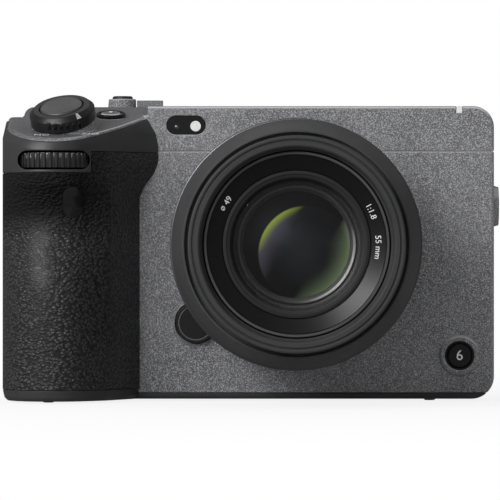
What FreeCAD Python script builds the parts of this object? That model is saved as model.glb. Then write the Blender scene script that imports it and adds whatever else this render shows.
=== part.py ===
import FreeCAD, Part
import math
import os

# Compact cinema camera with a hand grip, a swing-out monitor and a 55 mm lens.
# Millimetres. X runs to the right as seen from the front, the lens looks along -Y, +Z is up.
# The origin is the mouth of the bottom tripod socket, under the lens axis, in the sensor plane.

V = FreeCAD.Vector

# Driving sizes: body
body_width = 129.7
body_height = 77.7
lens_to_left = 76.7
lens_z = 40.9
flange_distance = 18.0
mount_proud = 5.0
panel_depth = 37.0
wall = 1.6
roof = 1.9
top_cover_height = 12.0
base_z = 1.6
front_lap = 3.5
rear_lap = 4.2
top_corner_r = 5.6
bottom_corner_r = 6.0
edge_round = 0.9
part_gap = 0.1
free_gap = 0.3
run_gap = 0.06
thumb_bump = 3.0
thumb_width = 43.2

# Driving sizes: grip
grip_reach = 30.0
grip_width = 35.7
grip_nose_in = 13.2
grip_bulge = 5.0
grip_neck_drop = 24.7
grip_brow_drop = 14.7
finger_hollow = 4.6
heel_tuck = 1.4
ridge_round = 1.1
leather = 0.8
shell_wall = 1.5
cap_low_drop = 18.1
cap_high_drop = 12.5
cap_step_in = 23.6
cap_wall = 1.6
foot_z = 3.0
foot_inset = 1.4
deck_slope = 12.7
deck_back = 11.3
deck_plate = 0.9
deck_width = 37.8
shoulder_in = 5.0
shoulder_drop = 3.0
shoulder_round = 2.2

# Driving sizes: controls
knob_r = 8.6
knob_height = 4.0
knob_lean = 8.0
knob_tilt = 24.5
knob_side_in = 16.1
knob_ahead = 17.3
knob_lift = 2.2
shutter_r = 5.6
shutter_travel = 1.1
seat_gap = 0.4
stem_r = 2.0
dial_r = 9.0
dial_thick = 4.0
dial_ribs = 34
rear_dial_r = 9.0
axle_r = 1.0
wheel_r = 10.5
wheel_bore_r = 6.2
button_flange = 0.7
button_travel = 0.6
flange_thick = 0.8
pad_r = 1.6
pad_height = 0.4

# Driving sizes: mounts and fasteners
tripod_r = 2.6
tripod_depth = 5.5
insert_r = 4.0
shoe_slot = 18.7
shoe_mouth = 12.6
shoe_height = 2.0
shoe_length = 20.0
rail_thick = 1.6
throat_r = 23.05
mount_ring_wall = 4.95
screw_r = 1.0
pin_r = 0.5
monitor_pin_r = 1.2

# Driving sizes: lens
lens_length = 70.5
lens_r = 32.2
hood_r = 27.4
bevel_r = 28.9
filter_r = 24.4
filter_depth = 4.0
glass_r = 17.2
rear_glass_r = 14.0
sleeve_r = 29.5
focus_width = 26.0
focus_travel = 4.0
blade_count = 9

# Driving sizes: inside
battery_size = (22.7, 38.7, 51.7)
card_size = (32.0, 2.1, 24.0)
sensor_size = (38.0, 26.5)
stage_travel = 1.5
monitor_gap = 3.5
monitor_side_in = 4.8
monitor_height = 61.0
monitor_thick = 9.8
door_thick = 1.4

# Places that follow from the sizes
split_z = body_height - top_cover_height
grip_neck_z = body_height - grip_neck_drop
grip_brow_z = body_height - grip_brow_drop
cap_low_z = body_height - cap_low_drop
cap_high_z = body_height - cap_high_drop
left_x = -lens_to_left
mount_ring_r = throat_r + mount_ring_wall
right_x = body_width - lens_to_left
panel_y = mount_proud - flange_distance
back_y = panel_y + panel_depth
flange_y = -flange_distance
grip_front_y = panel_y - grip_reach
grip_inner_x = left_x + grip_width
deck_back_y = panel_y + deck_back
deck_right_x = left_x + deck_width
cap_step_x = left_x + cap_step_in
front_split_y = panel_y + front_lap
rear_split_y = back_y - rear_lap
thumb_y = back_y + thumb_bump
thumb_right_x = left_x + thumb_width
cap_back_y = -1.0
far = 200.0


# Shape helpers
def box(x0, x1, y0, y1, z0, z1):
    return Part.makeBox(x1 - x0, y1 - y0, z1 - z0, V(x0, y0, z0))


def rod(base, axis, radius, length):
    return Part.makeCylinder(radius, length, base, axis)


def tube(base, axis, outer, inner, length):
    return rod(base, axis, outer, length).cut(rod(base, axis, inner, length))


def join(first, *others):
    return first.multiFuse(list(others)).removeSplitter()


def lathe(points):
    # Turns a closed outline of (y, radius) pairs round the lens axis.
    corners = [V(0, y, lens_z + r) for y, r in points]
    face = Part.Face(Part.makePolygon(corners + corners[:1]))
    return face.revolve(V(0, 0, lens_z), V(0, 1, 0), 360)


def prism_y(points, y0, y1):
    # Extrudes a closed outline of (x, z) pairs along Y.
    corners = [V(x, y0, z) for x, z in points]
    face = Part.Face(Part.makePolygon(corners + corners[:1]))
    return face.extrude(V(0, y1 - y0, 0))


def prism_x(points, x0, x1):
    # Extrudes a closed outline of (y, z) pairs along X.
    corners = [V(x0, y, z) for y, z in points]
    face = Part.Face(Part.makePolygon(corners + corners[:1]))
    return face.extrude(V(x1 - x0, 0, 0))


def rounded_plate(x0, x1, z0, z1, y0, y1, radius):
    # A plate facing Y with four round corners.
    plate = box(x0, x1, y0, y1, z0, z1)
    upright = [e for e in plate.Edges if abs(e.Vertexes[0].X - e.Vertexes[-1].X) < 0.01
               and abs(e.Vertexes[0].Z - e.Vertexes[-1].Z) < 0.01]
    return plate.makeFillet(radius, upright)


def stadium_y(cx, cz, width, height, y0, y1):
    # A slot or key with round ends, extruded along Y.
    r = min(width, height) / 2
    dx = width / 2 - r
    dz = height / 2 - r
    core = box(cx - max(dx, 0.01), cx + max(dx, 0.01), y0, y1, cz - r, cz + r)
    if dz > 0:
        core = box(cx - r, cx + r, y0, y1, cz - dz, cz + dz)
    ends = [rod(V(cx + s * dx, y0, cz + s * dz), V(0, 1, 0), r, y1 - y0) for s in (-1, 1)]
    return join(core, *ends)


# Outer form of the body block
def body_outline(y, inset):
    # The body as seen from the front: square on the grip side, with a step at the upper
    # left where the thumb rests, and two round corners on the right.
    i = inset
    top_z = body_height - i
    low_r = bottom_corner_r - i
    high_r = top_corner_r - i
    half = math.sqrt(0.5)
    low_c = (right_x - bottom_corner_r, bottom_corner_r)
    high_c = (right_x - top_corner_r, body_height - top_corner_r)
    shelf_z = body_height - 3.1
    step_x = left_x + 4.3

    def p(x, z):
        return V(x, y, z)

    edges = [
        Part.LineSegment(p(left_x + i, i), p(low_c[0], i)),
        Part.Arc(p(low_c[0], i), p(low_c[0] + low_r * half, low_c[1] - low_r * half),
                 p(right_x - i, low_c[1])),
        Part.LineSegment(p(right_x - i, low_c[1]), p(right_x - i, high_c[1])),
        Part.Arc(p(right_x - i, high_c[1]), p(high_c[0] + high_r * half, high_c[1] + high_r * half),
                 p(high_c[0], top_z)),
        Part.LineSegment(p(high_c[0], top_z), p(left_x + 7.7, top_z)),
        Part.Arc(p(left_x + 7.7, top_z), p(left_x + 5.1 + 0.7 * i, body_height - 1.0 - 0.7 * i),
                 p(step_x + i, shelf_z - i)),
        Part.LineSegment(p(step_x + i, shelf_z - i), p(left_x + 2.1 + 0.5 * i, shelf_z - i)),
        Part.LineSegment(p(left_x + 2.1 + 0.5 * i, shelf_z - i), p(left_x + i, shelf_z - 2.6 - 0.5 * i)),
        Part.LineSegment(p(left_x + i, shelf_z - 2.6 - 0.5 * i), p(left_x + i, i)),
    ]
    return Part.Wire([e.toShape() for e in edges])


def body_block():
    e = edge_round
    steps = [(panel_y, e), (panel_y + 0.3 * e, 0.3 * e), (panel_y + e, 0.0),
             (back_y - e, 0.0), (back_y - 0.3 * e, 0.3 * e), (back_y, e)]
    return Part.makeLoft([body_outline(y, inset) for y, inset in steps], True, True)


def body_cavity():
    face = Part.Face(body_outline(panel_y + wall, wall))
    hollow = face.extrude(V(0, panel_depth - 2 * wall, 0))
    return hollow.cut(box(left_x, right_x, panel_y, back_y, body_height - roof, body_height))


# Outer form of the grip
def bulge_at(z):
    # The finger hollow closes under the brow, and the brow draws in again towards the deck.
    if z <= grip_neck_z:
        return 0.0
    if z < grip_brow_z:
        share = (z - grip_neck_z) / (grip_brow_z - grip_neck_z)
        return grip_bulge * (1 - math.cos(math.pi * share)) / 2
    above = max(0.0, z - grip_brow_z - 4.0)
    return grip_bulge - 0.058 * above ** 2


def ease(share):
    # Runs smoothly from 0 to 1.
    share = min(1.0, max(0.0, share))
    return (1 - math.cos(math.pi * share)) / 2


def hollow_at(z):
    # How far the front draws back: a hollow for the middle finger under the dial, and a
    # slight tuck towards the foot.
    top = cap_low_z - 1.0
    deep = top - 8.5
    out = deep - 22.0
    if z > deep:
        return finger_hollow * ease((top - z) / (top - deep))
    if z > out:
        return finger_hollow * ease((z - out) / (deep - 3.0 - out))
    return heel_tuck * ease((out - 4.0 - z) / (out - 4.0 - foot_z))


def arc_on(centre, start, end):
    # An arc that goes on without a kink from the start point of a circle to another point.
    outward = (start - centre).normalize()
    chord = end - start
    reach = chord.dot(chord) / (2 * chord.dot(outward))
    middle = along(start, outward, reach)
    half = (start - middle).normalize() + (end - middle).normalize()
    return Part.Arc(start, along(middle, half.normalize(), abs(reach)), end)


def grip_section(z, inset):
    rear_y = back_y + 6.0
    front_y = grip_front_y + hollow_at(z)
    heel = V(grip_inner_x + bulge_at(z), panel_y, z)
    bend = V(left_x + 28.4, grip_front_y + 12.5 + 0.3 * hollow_at(z), z)
    inner_mid = V(left_x + 21.6, grip_front_y + 3.6 + 0.85 * hollow_at(z), z)
    nose = V(left_x + grip_nose_in, front_y, z)
    outer_mid = V(left_x + 4.2, grip_front_y + 4.9 + 0.85 * hollow_at(z), z)
    flank = V(left_x, grip_front_y + 15.5, z)
    brow = Part.Arc(inner_mid, nose, outer_mid)
    centre = brow.toShape().Curve.Center
    rear_left = V(left_x, rear_y, z)
    rear_right = V(heel.x, rear_y, z)
    edges = [
        Part.LineSegment(rear_right, heel),
        Part.LineSegment(heel, bend),
        arc_on(centre, inner_mid, bend),
        brow,
        arc_on(centre, outer_mid, flank),
        Part.LineSegment(flank, rear_left),
        Part.LineSegment(rear_left, rear_right),
    ]
    wire = Part.Wire([e.toShape() for e in edges])
    if inset == 0:
        return wire
    return wire.makeOffset2D(-inset, 2)


def grip_form(inset, z0, z1):
    # The grip's outer form between two heights, drawn in by an inset.
    step = 3.1
    count = int((grip_brow_z - foot_z) / step)
    stations = [grip_brow_z - k * step for k in range(count, 0, -1)]
    stations += [grip_brow_z, grip_brow_z + 4.0, grip_brow_z + 7.5, grip_brow_z + 11.0]
    heights = [z0] + [z for z in stations if z0 + 0.2 < z < z1 - 0.2] + [z1]
    return Part.makeLoft([grip_section(z, inset) for z in heights], True, True)


# The sloped deck over the grip
slope_tan = math.tan(math.radians(deck_slope))
deck_normal = V(0, -math.sin(math.radians(deck_slope)), math.cos(math.radians(deck_slope)))


def deck_z(y):
    return body_height - (deck_back_y - y) * slope_tan


def above_deck(drop, right):
    # Everything over the deck plane, lowered by a drop, as far right as the deck goes.
    front = grip_front_y - 10.0
    outline = [(front, deck_z(front) - drop), (deck_back_y, body_height - drop),
               (deck_back_y, far), (front, far)]
    return prism_x(outline, left_x - 10.0, right)


def over_shoulder(drop):
    # Everything over the lowered left edge of the top, whose inner corner is rounded up to
    # the roof; the surface is lowered by a drop.
    x = left_x + shoulder_in + drop
    z = body_height - shoulder_drop - drop
    r = shoulder_round - drop
    top = body_height - drop
    bend = r * (1 - math.cos(math.radians(45)))
    out = left_x - 10.0
    edges = [
        Part.LineSegment(V(out, 0, z), V(x, 0, z)),
        Part.LineSegment(V(x, 0, z), V(x, 0, top - r)),
        Part.Arc(V(x, 0, top - r), V(x + bend, 0, top - bend), V(x + r, 0, top)),
        Part.LineSegment(V(x + r, 0, top), V(x + r, 0, far)),
        Part.LineSegment(V(x + r, 0, far), V(out, 0, far)),
        Part.LineSegment(V(out, 0, far), V(out, 0, z)),
    ]
    face = Part.Face(Part.Wire([e.toShape() for e in edges]))
    face.translate(V(0, grip_front_y - 10.0, 0))
    return face.extrude(V(0, 100.0, 0))


def over_top(drop):
    return above_deck(drop, far).fuse(over_shoulder(drop))


def crown(inset):
    # The rounded edge where the grip's sides run up into the sloped deck: outlines of the
    # grip laid parallel to the deck, drawn in towards the top, most on the outer flank.
    wires = []
    for drop, share in ((30.0, -0.5), (3.6, -0.15), (2.2, 0.12), (0.9, 0.5), (0.0, 1.0), (-6.0, 1.2)):
        draw_in = ridge_round * share
        wire = grip_section(grip_brow_z, inset + draw_in)
        level = body_height - deck_back_y * slope_tan - drop - grip_brow_z
        lay = FreeCAD.Matrix(1, 0, 0, max(0.0, draw_in), 0, 1, 0, 0, 0, slope_tan, 1, level, 0, 0, 0, 1)
        wires.append(wire.transformGeometry(lay))
    return Part.makeLoft(wires, True, True)


def upper_form(inset, z0, z1):
    return grip_form(inset, z0, z1).common(crown(inset))


# Where the tilted power switch stands
knob_axis = V(-math.sin(math.radians(knob_lean)), -math.sin(math.radians(knob_tilt)), 0.9)
knob_axis.normalize()
knob_y = panel_y - knob_ahead
knob_base = V(left_x + knob_side_in, knob_y, deck_z(knob_y) + knob_lift)
seat_r = knob_r - free_gap
shutter_reach = knob_height + 0.4
shutter_disc = 1.2
shutter_well = shutter_reach - shutter_disc - shutter_travel - seat_gap


def along(base, axis, distance):
    return base + V(axis.x * distance, axis.y * distance, axis.z * distance)


# Buttons: a cap through a hole in a wall, kept by a flange behind it
def button(face, outward, radius, proud, thick):
    flange_r = radius + button_flange
    bottom = along(face, outward, -(thick + free_gap + flange_thick))
    cap_top = along(face, outward, proud - 0.35)
    body = rod(bottom, outward, radius, thick + free_gap + flange_thick + proud - 0.35)
    crown = Part.makeCone(radius, radius - 0.35, 0.35, cap_top, outward)
    flange = rod(bottom, outward, flange_r, flange_thick)
    return join(body, crown, flange)


def button_hole(face, outward, radius, thick):
    start = along(face, outward, -(thick + 1.0))
    return rod(start, outward, radius + free_gap, thick + 6.0)


FRONT = V(0, -1, 0)
REAR = V(0, 1, 0)
UP = V(0, 0, 1)
RIGHT = V(1, 0, 0)

# Places of the controls
top_button_at = V(left_x + 28.1, panel_y - 2.0, deck_z(panel_y - 2.0))
record_at = V(left_x + 30.5, panel_y + 28.0, body_height)
key_at = V(left_x + 37.9, panel_y + 28.0, body_height)
front_button_at = V(right_x - 9.2, panel_y, 11.5)
release_angle = math.radians(218.4)
release_reach = mount_ring_r + 5.3
release_at = V(release_reach * math.cos(release_angle), panel_y,
               lens_z + release_reach * math.sin(release_angle))
front_dial_at = V(left_x + 13.8, grip_front_y + dial_r - 0.1, cap_low_z + 3.3)
rear_dial_at = V(left_x + 14.7, back_y - rear_dial_r + 2.6, split_z + 4.5)
wheel_at = V(left_x + 22.2, thumb_y, 27.0)
stick_at = V(left_x + 36.2, thumb_y, split_z - 18.2)
menu_at = V(left_x + 36.6, thumb_y, split_z - 6.9)
function_at = V(left_x + 10.7, thumb_y, split_z - 18.2)
focus_on_at = V(left_x + 24.7, thumb_y, split_z - 7.2)
play_at = V(left_x + 36.6, thumb_y, 10.0)
lamp_window_at = (grip_inner_x + 12.3, body_height - 5.1)
tally_x = right_x - 9.25
remote_at = (left_x + 18.8, grip_neck_z - 1.1)
side_boss_at = V(right_x, -2.0, split_z - 14.5)
left_plate_at = V(left_x, 5.0, split_z + 0.05)
top_insert_spots = [(-24.0, 6.0), (22.0, 6.0), (44.0, 6.0)]
small_r = 2.3
release_r = 5.35
record_r = 2.75
front_button_r = 3.15
stick_well_r = 3.8
collar_proud = 0.9


# Covers
middle_low = base_z + part_gap / 2
middle_high = split_z - part_gap / 2
solid_block = body_block()
hollow = body_cavity()
shell = solid_block.cut(hollow)


def mount_opening():
    return rod(V(0, panel_y - 1, lens_z), REAR, mount_ring_r + part_gap, 4)


def front_cover():
    # Cast front panel with its lens opening, release button hole and numbered button collar.
    cover = shell.common(box(grip_inner_x - 5.0, right_x, panel_y, front_split_y, middle_low, middle_high))
    collar_r = front_button_r + 2.15
    face = V(front_button_at.x, panel_y - collar_proud, front_button_at.z)
    collar = Part.makeCone(collar_r - 0.5, collar_r, 0.5, face, REAR)
    collar = join(collar, rod(along(face, REAR, 0.5), REAR, collar_r, collar_proud - 0.5 + wall))
    cover = join(cover, collar)
    cover = cover.cut(mount_opening())
    cover = cover.cut(button_hole(release_at, FRONT, release_r + 0.1, wall))
    cover = cover.cut(button_hole(face, FRONT, front_button_r, wall + collar_proud))
    well = rod(along(face, FRONT, 1), REAR, front_button_r + 0.72, 1 + collar_proud + 0.5)
    return cover.cut(well)


def insert_hole(mouth, inward, depth):
    return rod(along(mouth, inward, -3.0), inward, insert_r + part_gap, depth + 3.0)


def top_cover():
    # Top casting: flat roof, sloped deck over the grip, knob seat, collars and shoe pocket.
    upper = box(left_x - 1, right_x + 1, panel_y - 1, back_y + 1, split_z + part_gap / 2, far)
    body = solid_block.common(upper).cut(above_deck(0, deck_right_x)).cut(over_shoulder(0))
    body = body.cut(hollow.cut(above_deck(roof, deck_right_x + wall)).cut(over_shoulder(wall)))
    open_x = grip_inner_x - 1.5
    under_deck = box(left_x - 1, open_x, panel_y - 1, panel_y + wall + 0.2, split_z - 1, far)
    body = body.cut(under_deck.cut(over_top(roof)))
    under_plate = box(left_x - 1, left_x + 4, panel_y - 1, cap_back_y, split_z - 1, far)
    body = body.cut(under_plate.cut(over_top(deck_plate)))
    flank = box(left_x - 1, left_x + 6, panel_y - 1, cap_back_y, split_z - 1, far)
    body = body.cut(flank.cut(crown(0)))
    slab = upper_form(0, split_z, body_height + 1).common(
        box(left_x - 1, far, grip_front_y - 1, panel_y + 0.5, split_z, far))
    slab = slab.cut(over_top(0)).common(over_top(deck_plate))
    seat = rod(along(knob_base, knob_axis, -8.0), knob_axis, seat_r, 8.0 - free_gap)
    post = rod(knob_base, knob_axis, stem_r + 1.2, 1.7)
    post = join(post, rod(along(knob_base, knob_axis, -1.0), knob_axis, stem_r + 1.2, 1.2))
    inner_grip = upper_form(cap_wall + part_gap, split_z, body_height)
    seat_foot = seat.common(above_deck(roof, far)).common(inner_grip)
    seat = seat.common(above_deck(deck_plate / 2, far))
    small_collar = rod(along(top_button_at, deck_normal, -roof), deck_normal, record_r + 1.05, roof + 0.7)
    record_collar = Part.makeCone(record_r + 1.2, record_r + 1.0, 2.6, record_at, UP)
    posts = [rod(V(rear_dial_at.x, rear_dial_at.y, rear_dial_at.z - 2.6), UP, axle_r,
                 body_height - roof - rear_dial_at.z + 2.8)]
    body = join(body, slab, seat, seat_foot, post, small_collar, record_collar, shoe_well(), *posts)
    holes = [rod(along(knob_base, knob_axis, -9.0), knob_axis, stem_r + run_gap, 14.0)]
    holes.append(button_hole(top_button_at, deck_normal, record_r, roof))
    holes.append(button_hole(record_at, UP, record_r, roof + 2.0))
    holes.append(box(key_at.x - 3.8, key_at.x + 3.8, key_at.y - 3.3, key_at.y + 3.3, split_z + 6, far))
    for x, y in top_insert_spots:
        holes.append(insert_hole(V(x, y, body_height), V(0, 0, -1), roof + 1))
    holes.append(mount_opening())
    holes.append(insert_hole(left_plate_at, RIGHT, 6.0))
    holes.append(shoe_pocket())
    holes.append(stadium_y(*lamp_window_at, 10.4, 5.0, panel_y - 1, panel_y + wall + 1))
    holes.append(box(tally_x - 0.8, tally_x + 0.8, panel_y - 1, panel_y + 2.2, body_height - 1.9, far))
    slot_half = rear_dial_r * 1.08
    holes.append(box(rear_dial_at.x - slot_half, rear_dial_at.x + slot_half, back_y - 3, back_y + 3,
                     rear_dial_at.z - dial_thick / 2 - 0.35, rear_dial_at.z + dial_thick / 2 + 0.35))
    for hole in holes:
        body = body.cut(hole)
    return body


shoe_outer = shoe_slot + 2.3
shoe_floor = 0.6
shoe_depth = rail_thick + shoe_height + shoe_floor + 0.2


def shoe_pocket():
    return box(-shoe_outer / 2 - part_gap, shoe_outer / 2 + part_gap, back_y - shoe_length - 2.0,
               back_y + 1, body_height - shoe_depth, far)


def shoe_well():
    # The sheet-metal floor and walls of the pocket hang inside the top cover.
    skin = 0.8
    outer = box(-shoe_outer / 2 - part_gap - skin, shoe_outer / 2 + part_gap + skin,
                back_y - shoe_length - 2.0 - skin, back_y - wall - 0.05,
                body_height - shoe_depth - skin, body_height - roof)
    return outer.cut(shoe_pocket())


def accessory_shoe():
    # Bent steel shoe: floor, two side walls and two lips that hold the foot of an accessory.
    half = shoe_outer / 2
    front = back_y - shoe_length - 1.7
    rear = back_y - 0.6
    floor_z = body_height - shoe_depth
    top = floor_z + shoe_floor + shoe_height + rail_thick
    solid = box(-half, half, front, rear, floor_z, top)
    slot = box(-shoe_slot / 2, shoe_slot / 2, front + 1.7, rear + 1, floor_z + shoe_floor,
               floor_z + shoe_floor + shoe_height)
    mouth = box(-shoe_mouth / 2, shoe_mouth / 2, front + 1.7, rear + 1, floor_z + shoe_floor, top + 1)
    return solid.cut(slot).cut(mouth)


door_x0 = left_x + 2.6
door_x1 = left_x + 25.2
door_y0 = grip_front_y + 15.2
door_y1 = door_y0 + battery_size[1] + 1.6
door_thick_low = 2.4
door_hinge = V(door_x1 + 1.45, 0, 1.2)
knuckle_r = 1.1


def bottom_cover():
    # Black base plate with the grip foot, the battery door opening and four moulded pads.
    # Its height ends at the same line as the side walls start.
    flat = solid_block.common(box(grip_inner_x - 5.0, right_x, panel_y, back_y, 0, base_z - part_gap / 2))
    foot_low = grip_section(0, foot_inset)
    foot_mid = grip_section(0.9, 0.35 * foot_inset)
    foot_top = grip_section(foot_z - part_gap, 0.02)
    foot = Part.makeLoft([foot_low, foot_mid, foot_top], True, True)
    foot = foot.common(box(left_x - 1, grip_inner_x + 1, grip_front_y - 1, back_y, -1, foot_z))
    shell_foot = base_z - part_gap / 2
    for x0, y0 in ((left_x - 1, rear_split_y - part_gap), (grip_inner_x - 5.1, panel_y - 0.1)):
        foot = foot.cut(box(x0, grip_inner_x + 2, y0, back_y + 1, shell_foot, foot_z + 1))
    plate = join(flat, foot)
    opening = box(door_x0 - free_gap, door_x1 + 0.9, door_y0 - free_gap, door_y1 + free_gap, -1, foot_z + 1)
    recess = box(door_x1 - 1, door_hinge.x + 1.9, door_y0 + 4, door_y1 - 4, -1, foot_z + 1)
    plate = plate.cut(opening).cut(recess)
    ends = [(door_y0 + 4.0, door_y0 + 8.0), (door_y1 - 8.0, door_y1 - 4.0)]
    for y0, y1 in ends:
        eye = rod(V(door_hinge.x, y0, door_hinge.z), REAR, knuckle_r, y1 - y0)
        web = box(door_hinge.x, door_hinge.x + 2.4, y0, y1, door_hinge.z - 0.3, base_z - part_gap / 2)
        plate = join(plate, eye, web)
    plate = plate.cut(rod(V(door_hinge.x, door_y0 + 1, door_hinge.z), REAR, pin_r, door_y1 - door_y0 - 2))
    plate = plate.cut(insert_hole(V(0, 0, 0), UP, 3.0))
    pads = [(left_x + 12.2, grip_front_y + 11.0), (left_x + 12.2, back_y - 4.0),
            (right_x - 17.0, panel_y + 4.0), (right_x - 17.0, back_y - 4.0)]
    for x, y in pads:
        plate = join(plate, Part.makeCone(pad_r - 0.3, pad_r, pad_height, V(x, y, -pad_height), UP))
    for x, y in base_screws:
        plate = plate.cut(Part.makeCone(screw_r + 0.8, screw_r + 0.05, 0.8, V(x, y, 0), UP))
        plate = plate.cut(rod(V(x, y, 0), UP, screw_r + 0.05, 3))
    return plate


base_screws = [(right_x - 9.0, panel_y + 7.0), (right_x - 9.0, back_y - 7.0),
               (-32.0, panel_y + 7.0), (-32.0, back_y - 7.0)]

upper_door = (5.6, 19.2, 35.0, split_z - 3.7)
lower_door = (5.6, 19.2, 8.0, 32.0)
port_hinge_x = right_x - 0.75
door_knuckle = 0.7


def side_cover():
    # Right side wall with the two port openings, air slots and a round thread boss.
    cover = shell.common(box(right_x - 8.0, right_x, front_split_y + part_gap, rear_split_y - part_gap,
                             middle_low, middle_high))
    boss = Part.makeCone(insert_r + 1.6, insert_r + 1.1, 1.6, side_boss_at, RIGHT)
    cover = join(cover, boss, rod(side_boss_at, V(-1, 0, 0), insert_r + 1.6, wall))
    cover = cover.cut(rod(along(side_boss_at, RIGHT, 2), V(-1, 0, 0), insert_r + 0.05, 8))
    for y0, y1, z0, z1 in (upper_door, lower_door):
        cover = cover.cut(box(right_x - 3, right_x + 1, y0 - door_knuckle - free_gap, y1 + free_gap,
                              z0 - free_gap, z1 + free_gap))
        cover = cover.cut(pin_hole(port_hinge_x, y0, z0, z1))
    for k in range(5):
        y = panel_y + front_lap + 1.8 + 2.3 * k
        cover = cover.cut(stadium_y_side(y, 24.0, 1.1, 28.0))
    return cover


def stadium_y_side(y, z, width, height):
    # An upright slot through the side wall.
    r = width / 2
    core = box(right_x - 3, right_x + 1, y - r, y + r, z - height / 2 + r, z + height / 2 - r)
    ends = [rod(V(right_x - 3, y, z + s * (height / 2 - r)), RIGHT, r, 4) for s in (-1, 1)]
    return join(core, *ends)


def pin_hole(x, y, z0, z1):
    # Blind seats for an upright pin, a little past both ends of what turns on it.
    return rod(V(x, y, z0 - 1.3), UP, 0.37, z1 - z0 + 2.6)


def port_cover(y0, y1, z0, z1):
    # A stiff rubber flap on an upright pin, with a finger lip at its free edge.
    flap = box(right_x - door_thick, right_x, y0, y1, z0, z1)
    eye = rod(V(port_hinge_x, y0, z0), UP, door_knuckle, z1 - z0)
    lip = box(right_x - 0.1, right_x + 0.5, y1 - 3.0, y1 - 1.0, (z0 + z1) / 2 - 4, (z0 + z1) / 2 + 4)
    flap = join(flap, eye, lip)
    return flap.cut(rod(V(port_hinge_x, y0, z0 - 1), UP, 0.35 + run_gap, z1 - z0 + 2))


monitor_x1 = right_x - monitor_side_in
monitor_x0 = thumb_right_x + monitor_gap
monitor_z0 = 5.0
monitor_z1 = monitor_z0 + monitor_height
monitor_y0 = back_y + 0.4
monitor_y1 = monitor_y0 + monitor_thick
swing_axis = V(right_x - 2.1, (monitor_y0 + monitor_y1) / 2, 0)
lug_r = 2.4
arm_z = (monitor_z0 + 14.0, monitor_z1 - 15.0)
lug_height = 5.0


def wheel_pad(center, radius):
    return rod(V(center.x, thumb_y, center.z), V(0, -1, 0), radius, thumb_bump + wall)


def thumb_outline(y, inset):
    x0 = left_x + 0.3 + inset
    x1 = thumb_right_x - inset
    z0 = middle_low + inset
    z1 = middle_high - inset
    return Part.makePolygon([V(x0, y, z0), V(x1, y, z0), V(x1, y, z1), V(x0, y, z1), V(x0, y, z0)])


def rear_cover():
    # Rear wall with the raised thumb pad, wheel well, joystick well and the monitor lugs.
    cover = shell.common(box(left_x, right_x, rear_split_y, back_y + 1, middle_low, middle_high))
    rim = 1.2
    bump = Part.makeLoft([thumb_outline(back_y - 0.5, 0), thumb_outline(thumb_y, rim)], True, True)
    cover = join(cover, bump)
    cover = cover.cut(box(left_x + 3.0, thumb_right_x - 3.0, back_y - wall - 1, thumb_y - wall,
                          middle_low + 3.0, middle_high - 3.0))
    cover = join(cover, wheel_pad(wheel_at, wheel_r + 2.0), wheel_pad(stick_at, stick_well_r + 1.3))
    well = rod(V(wheel_at.x, thumb_y + 1, wheel_at.z), V(0, -1, 0), wheel_r + free_gap, 3.2)
    boss = rod(V(wheel_at.x, thumb_y - 2.4, wheel_at.z), REAR, wheel_bore_r - run_gap, 2.6)
    cover = join(cover.cut(well), boss)
    cover = cover.cut(button_hole(V(wheel_at.x, thumb_y + 0.2, wheel_at.z), REAR, 3.6, thumb_bump + wall))
    cover = cover.cut(rod(V(stick_at.x, thumb_y + 1, stick_at.z), V(0, -1, 0), stick_well_r, 5.15))
    flange_room = free_gap + flange_thick + button_travel + free_gap
    for place in (menu_at, function_at, focus_on_at, play_at):
        cover = cover.cut(button_hole(place, REAR, small_r, wall + 2))
        behind = V(place.x, thumb_y - wall, place.z)
        cover = cover.cut(rod(behind, FRONT, small_r + button_flange + free_gap, flange_room))
    for z0, z1 in lug_spans():
        eye = rod(V(swing_axis.x, swing_axis.y, z0), UP, lug_r, z1 - z0)
        web = box(swing_axis.x - 1.4, right_x, back_y - wall, swing_axis.y, z0, z1)
        cover = join(cover, eye, web)
    return cover.cut(rod(V(swing_axis.x, swing_axis.y, 0), UP, monitor_pin_r, far))


def lug_spans():
    z0, z1 = arm_z
    return [(z0 - free_gap - lug_height, z0 - free_gap), (z1 + free_gap, z1 + free_gap + lug_height)]


def monitor_arm():
    # Hinge barrel with a tongue that is screwed into the monitor's edge.
    z0, z1 = arm_z
    barrel = rod(V(swing_axis.x, swing_axis.y, z0), UP, lug_r, z1 - z0)
    tongue = box(monitor_x1 - 6.0, swing_axis.x, swing_axis.y - 1.6, swing_axis.y + 1.6, z0 + 2, z1 - 2)
    arm = join(barrel, tongue)
    return arm.cut(rod(V(swing_axis.x, swing_axis.y, z0 - 1), UP, monitor_pin_r + run_gap, z1 - z0 + 2))


glass_thick = 0.9
glass_margin = (4.0, 6.5, 5.0)


def monitor_glass():
    side, hinge_side, high = glass_margin
    return rounded_plate(monitor_x0 + side, monitor_x1 - hinge_side, monitor_z0 + high, monitor_z1 - high,
                         monitor_y1 - glass_thick, monitor_y1 - 0.05, 1.5)


def monitor_housing():
    housing = rounded_plate(monitor_x0, monitor_x1, monitor_z0, monitor_z1, monitor_y0, monitor_y1, 3.0)
    side, hinge_side, high = glass_margin
    housing = housing.cut(box(monitor_x0 + side - 0.1, monitor_x1 - hinge_side + 0.1,
                              monitor_y1 - glass_thick - 0.02, monitor_y1 + 1,
                              monitor_z0 + high - 0.1, monitor_z1 - high + 0.1))
    z0, z1 = arm_z
    pocket = box(monitor_x1 - 6.02, monitor_x1 + 1, swing_axis.y - 1.62, swing_axis.y + 1.62,
                 z0 + 1.98, z1 - 1.98)
    return housing.cut(pocket)


# Grip
def front_zone(x1):
    # Everything ahead of the front panel, and the outer flank back to the card door.
    ahead = box(left_x - 5, x1, grip_front_y - 5, panel_y - part_gap / 2, -1, far)
    flank = box(left_x - 5, left_x + 4, grip_front_y, cap_back_y - part_gap / 2, -1, far)
    return ahead.fuse(flank)


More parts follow.
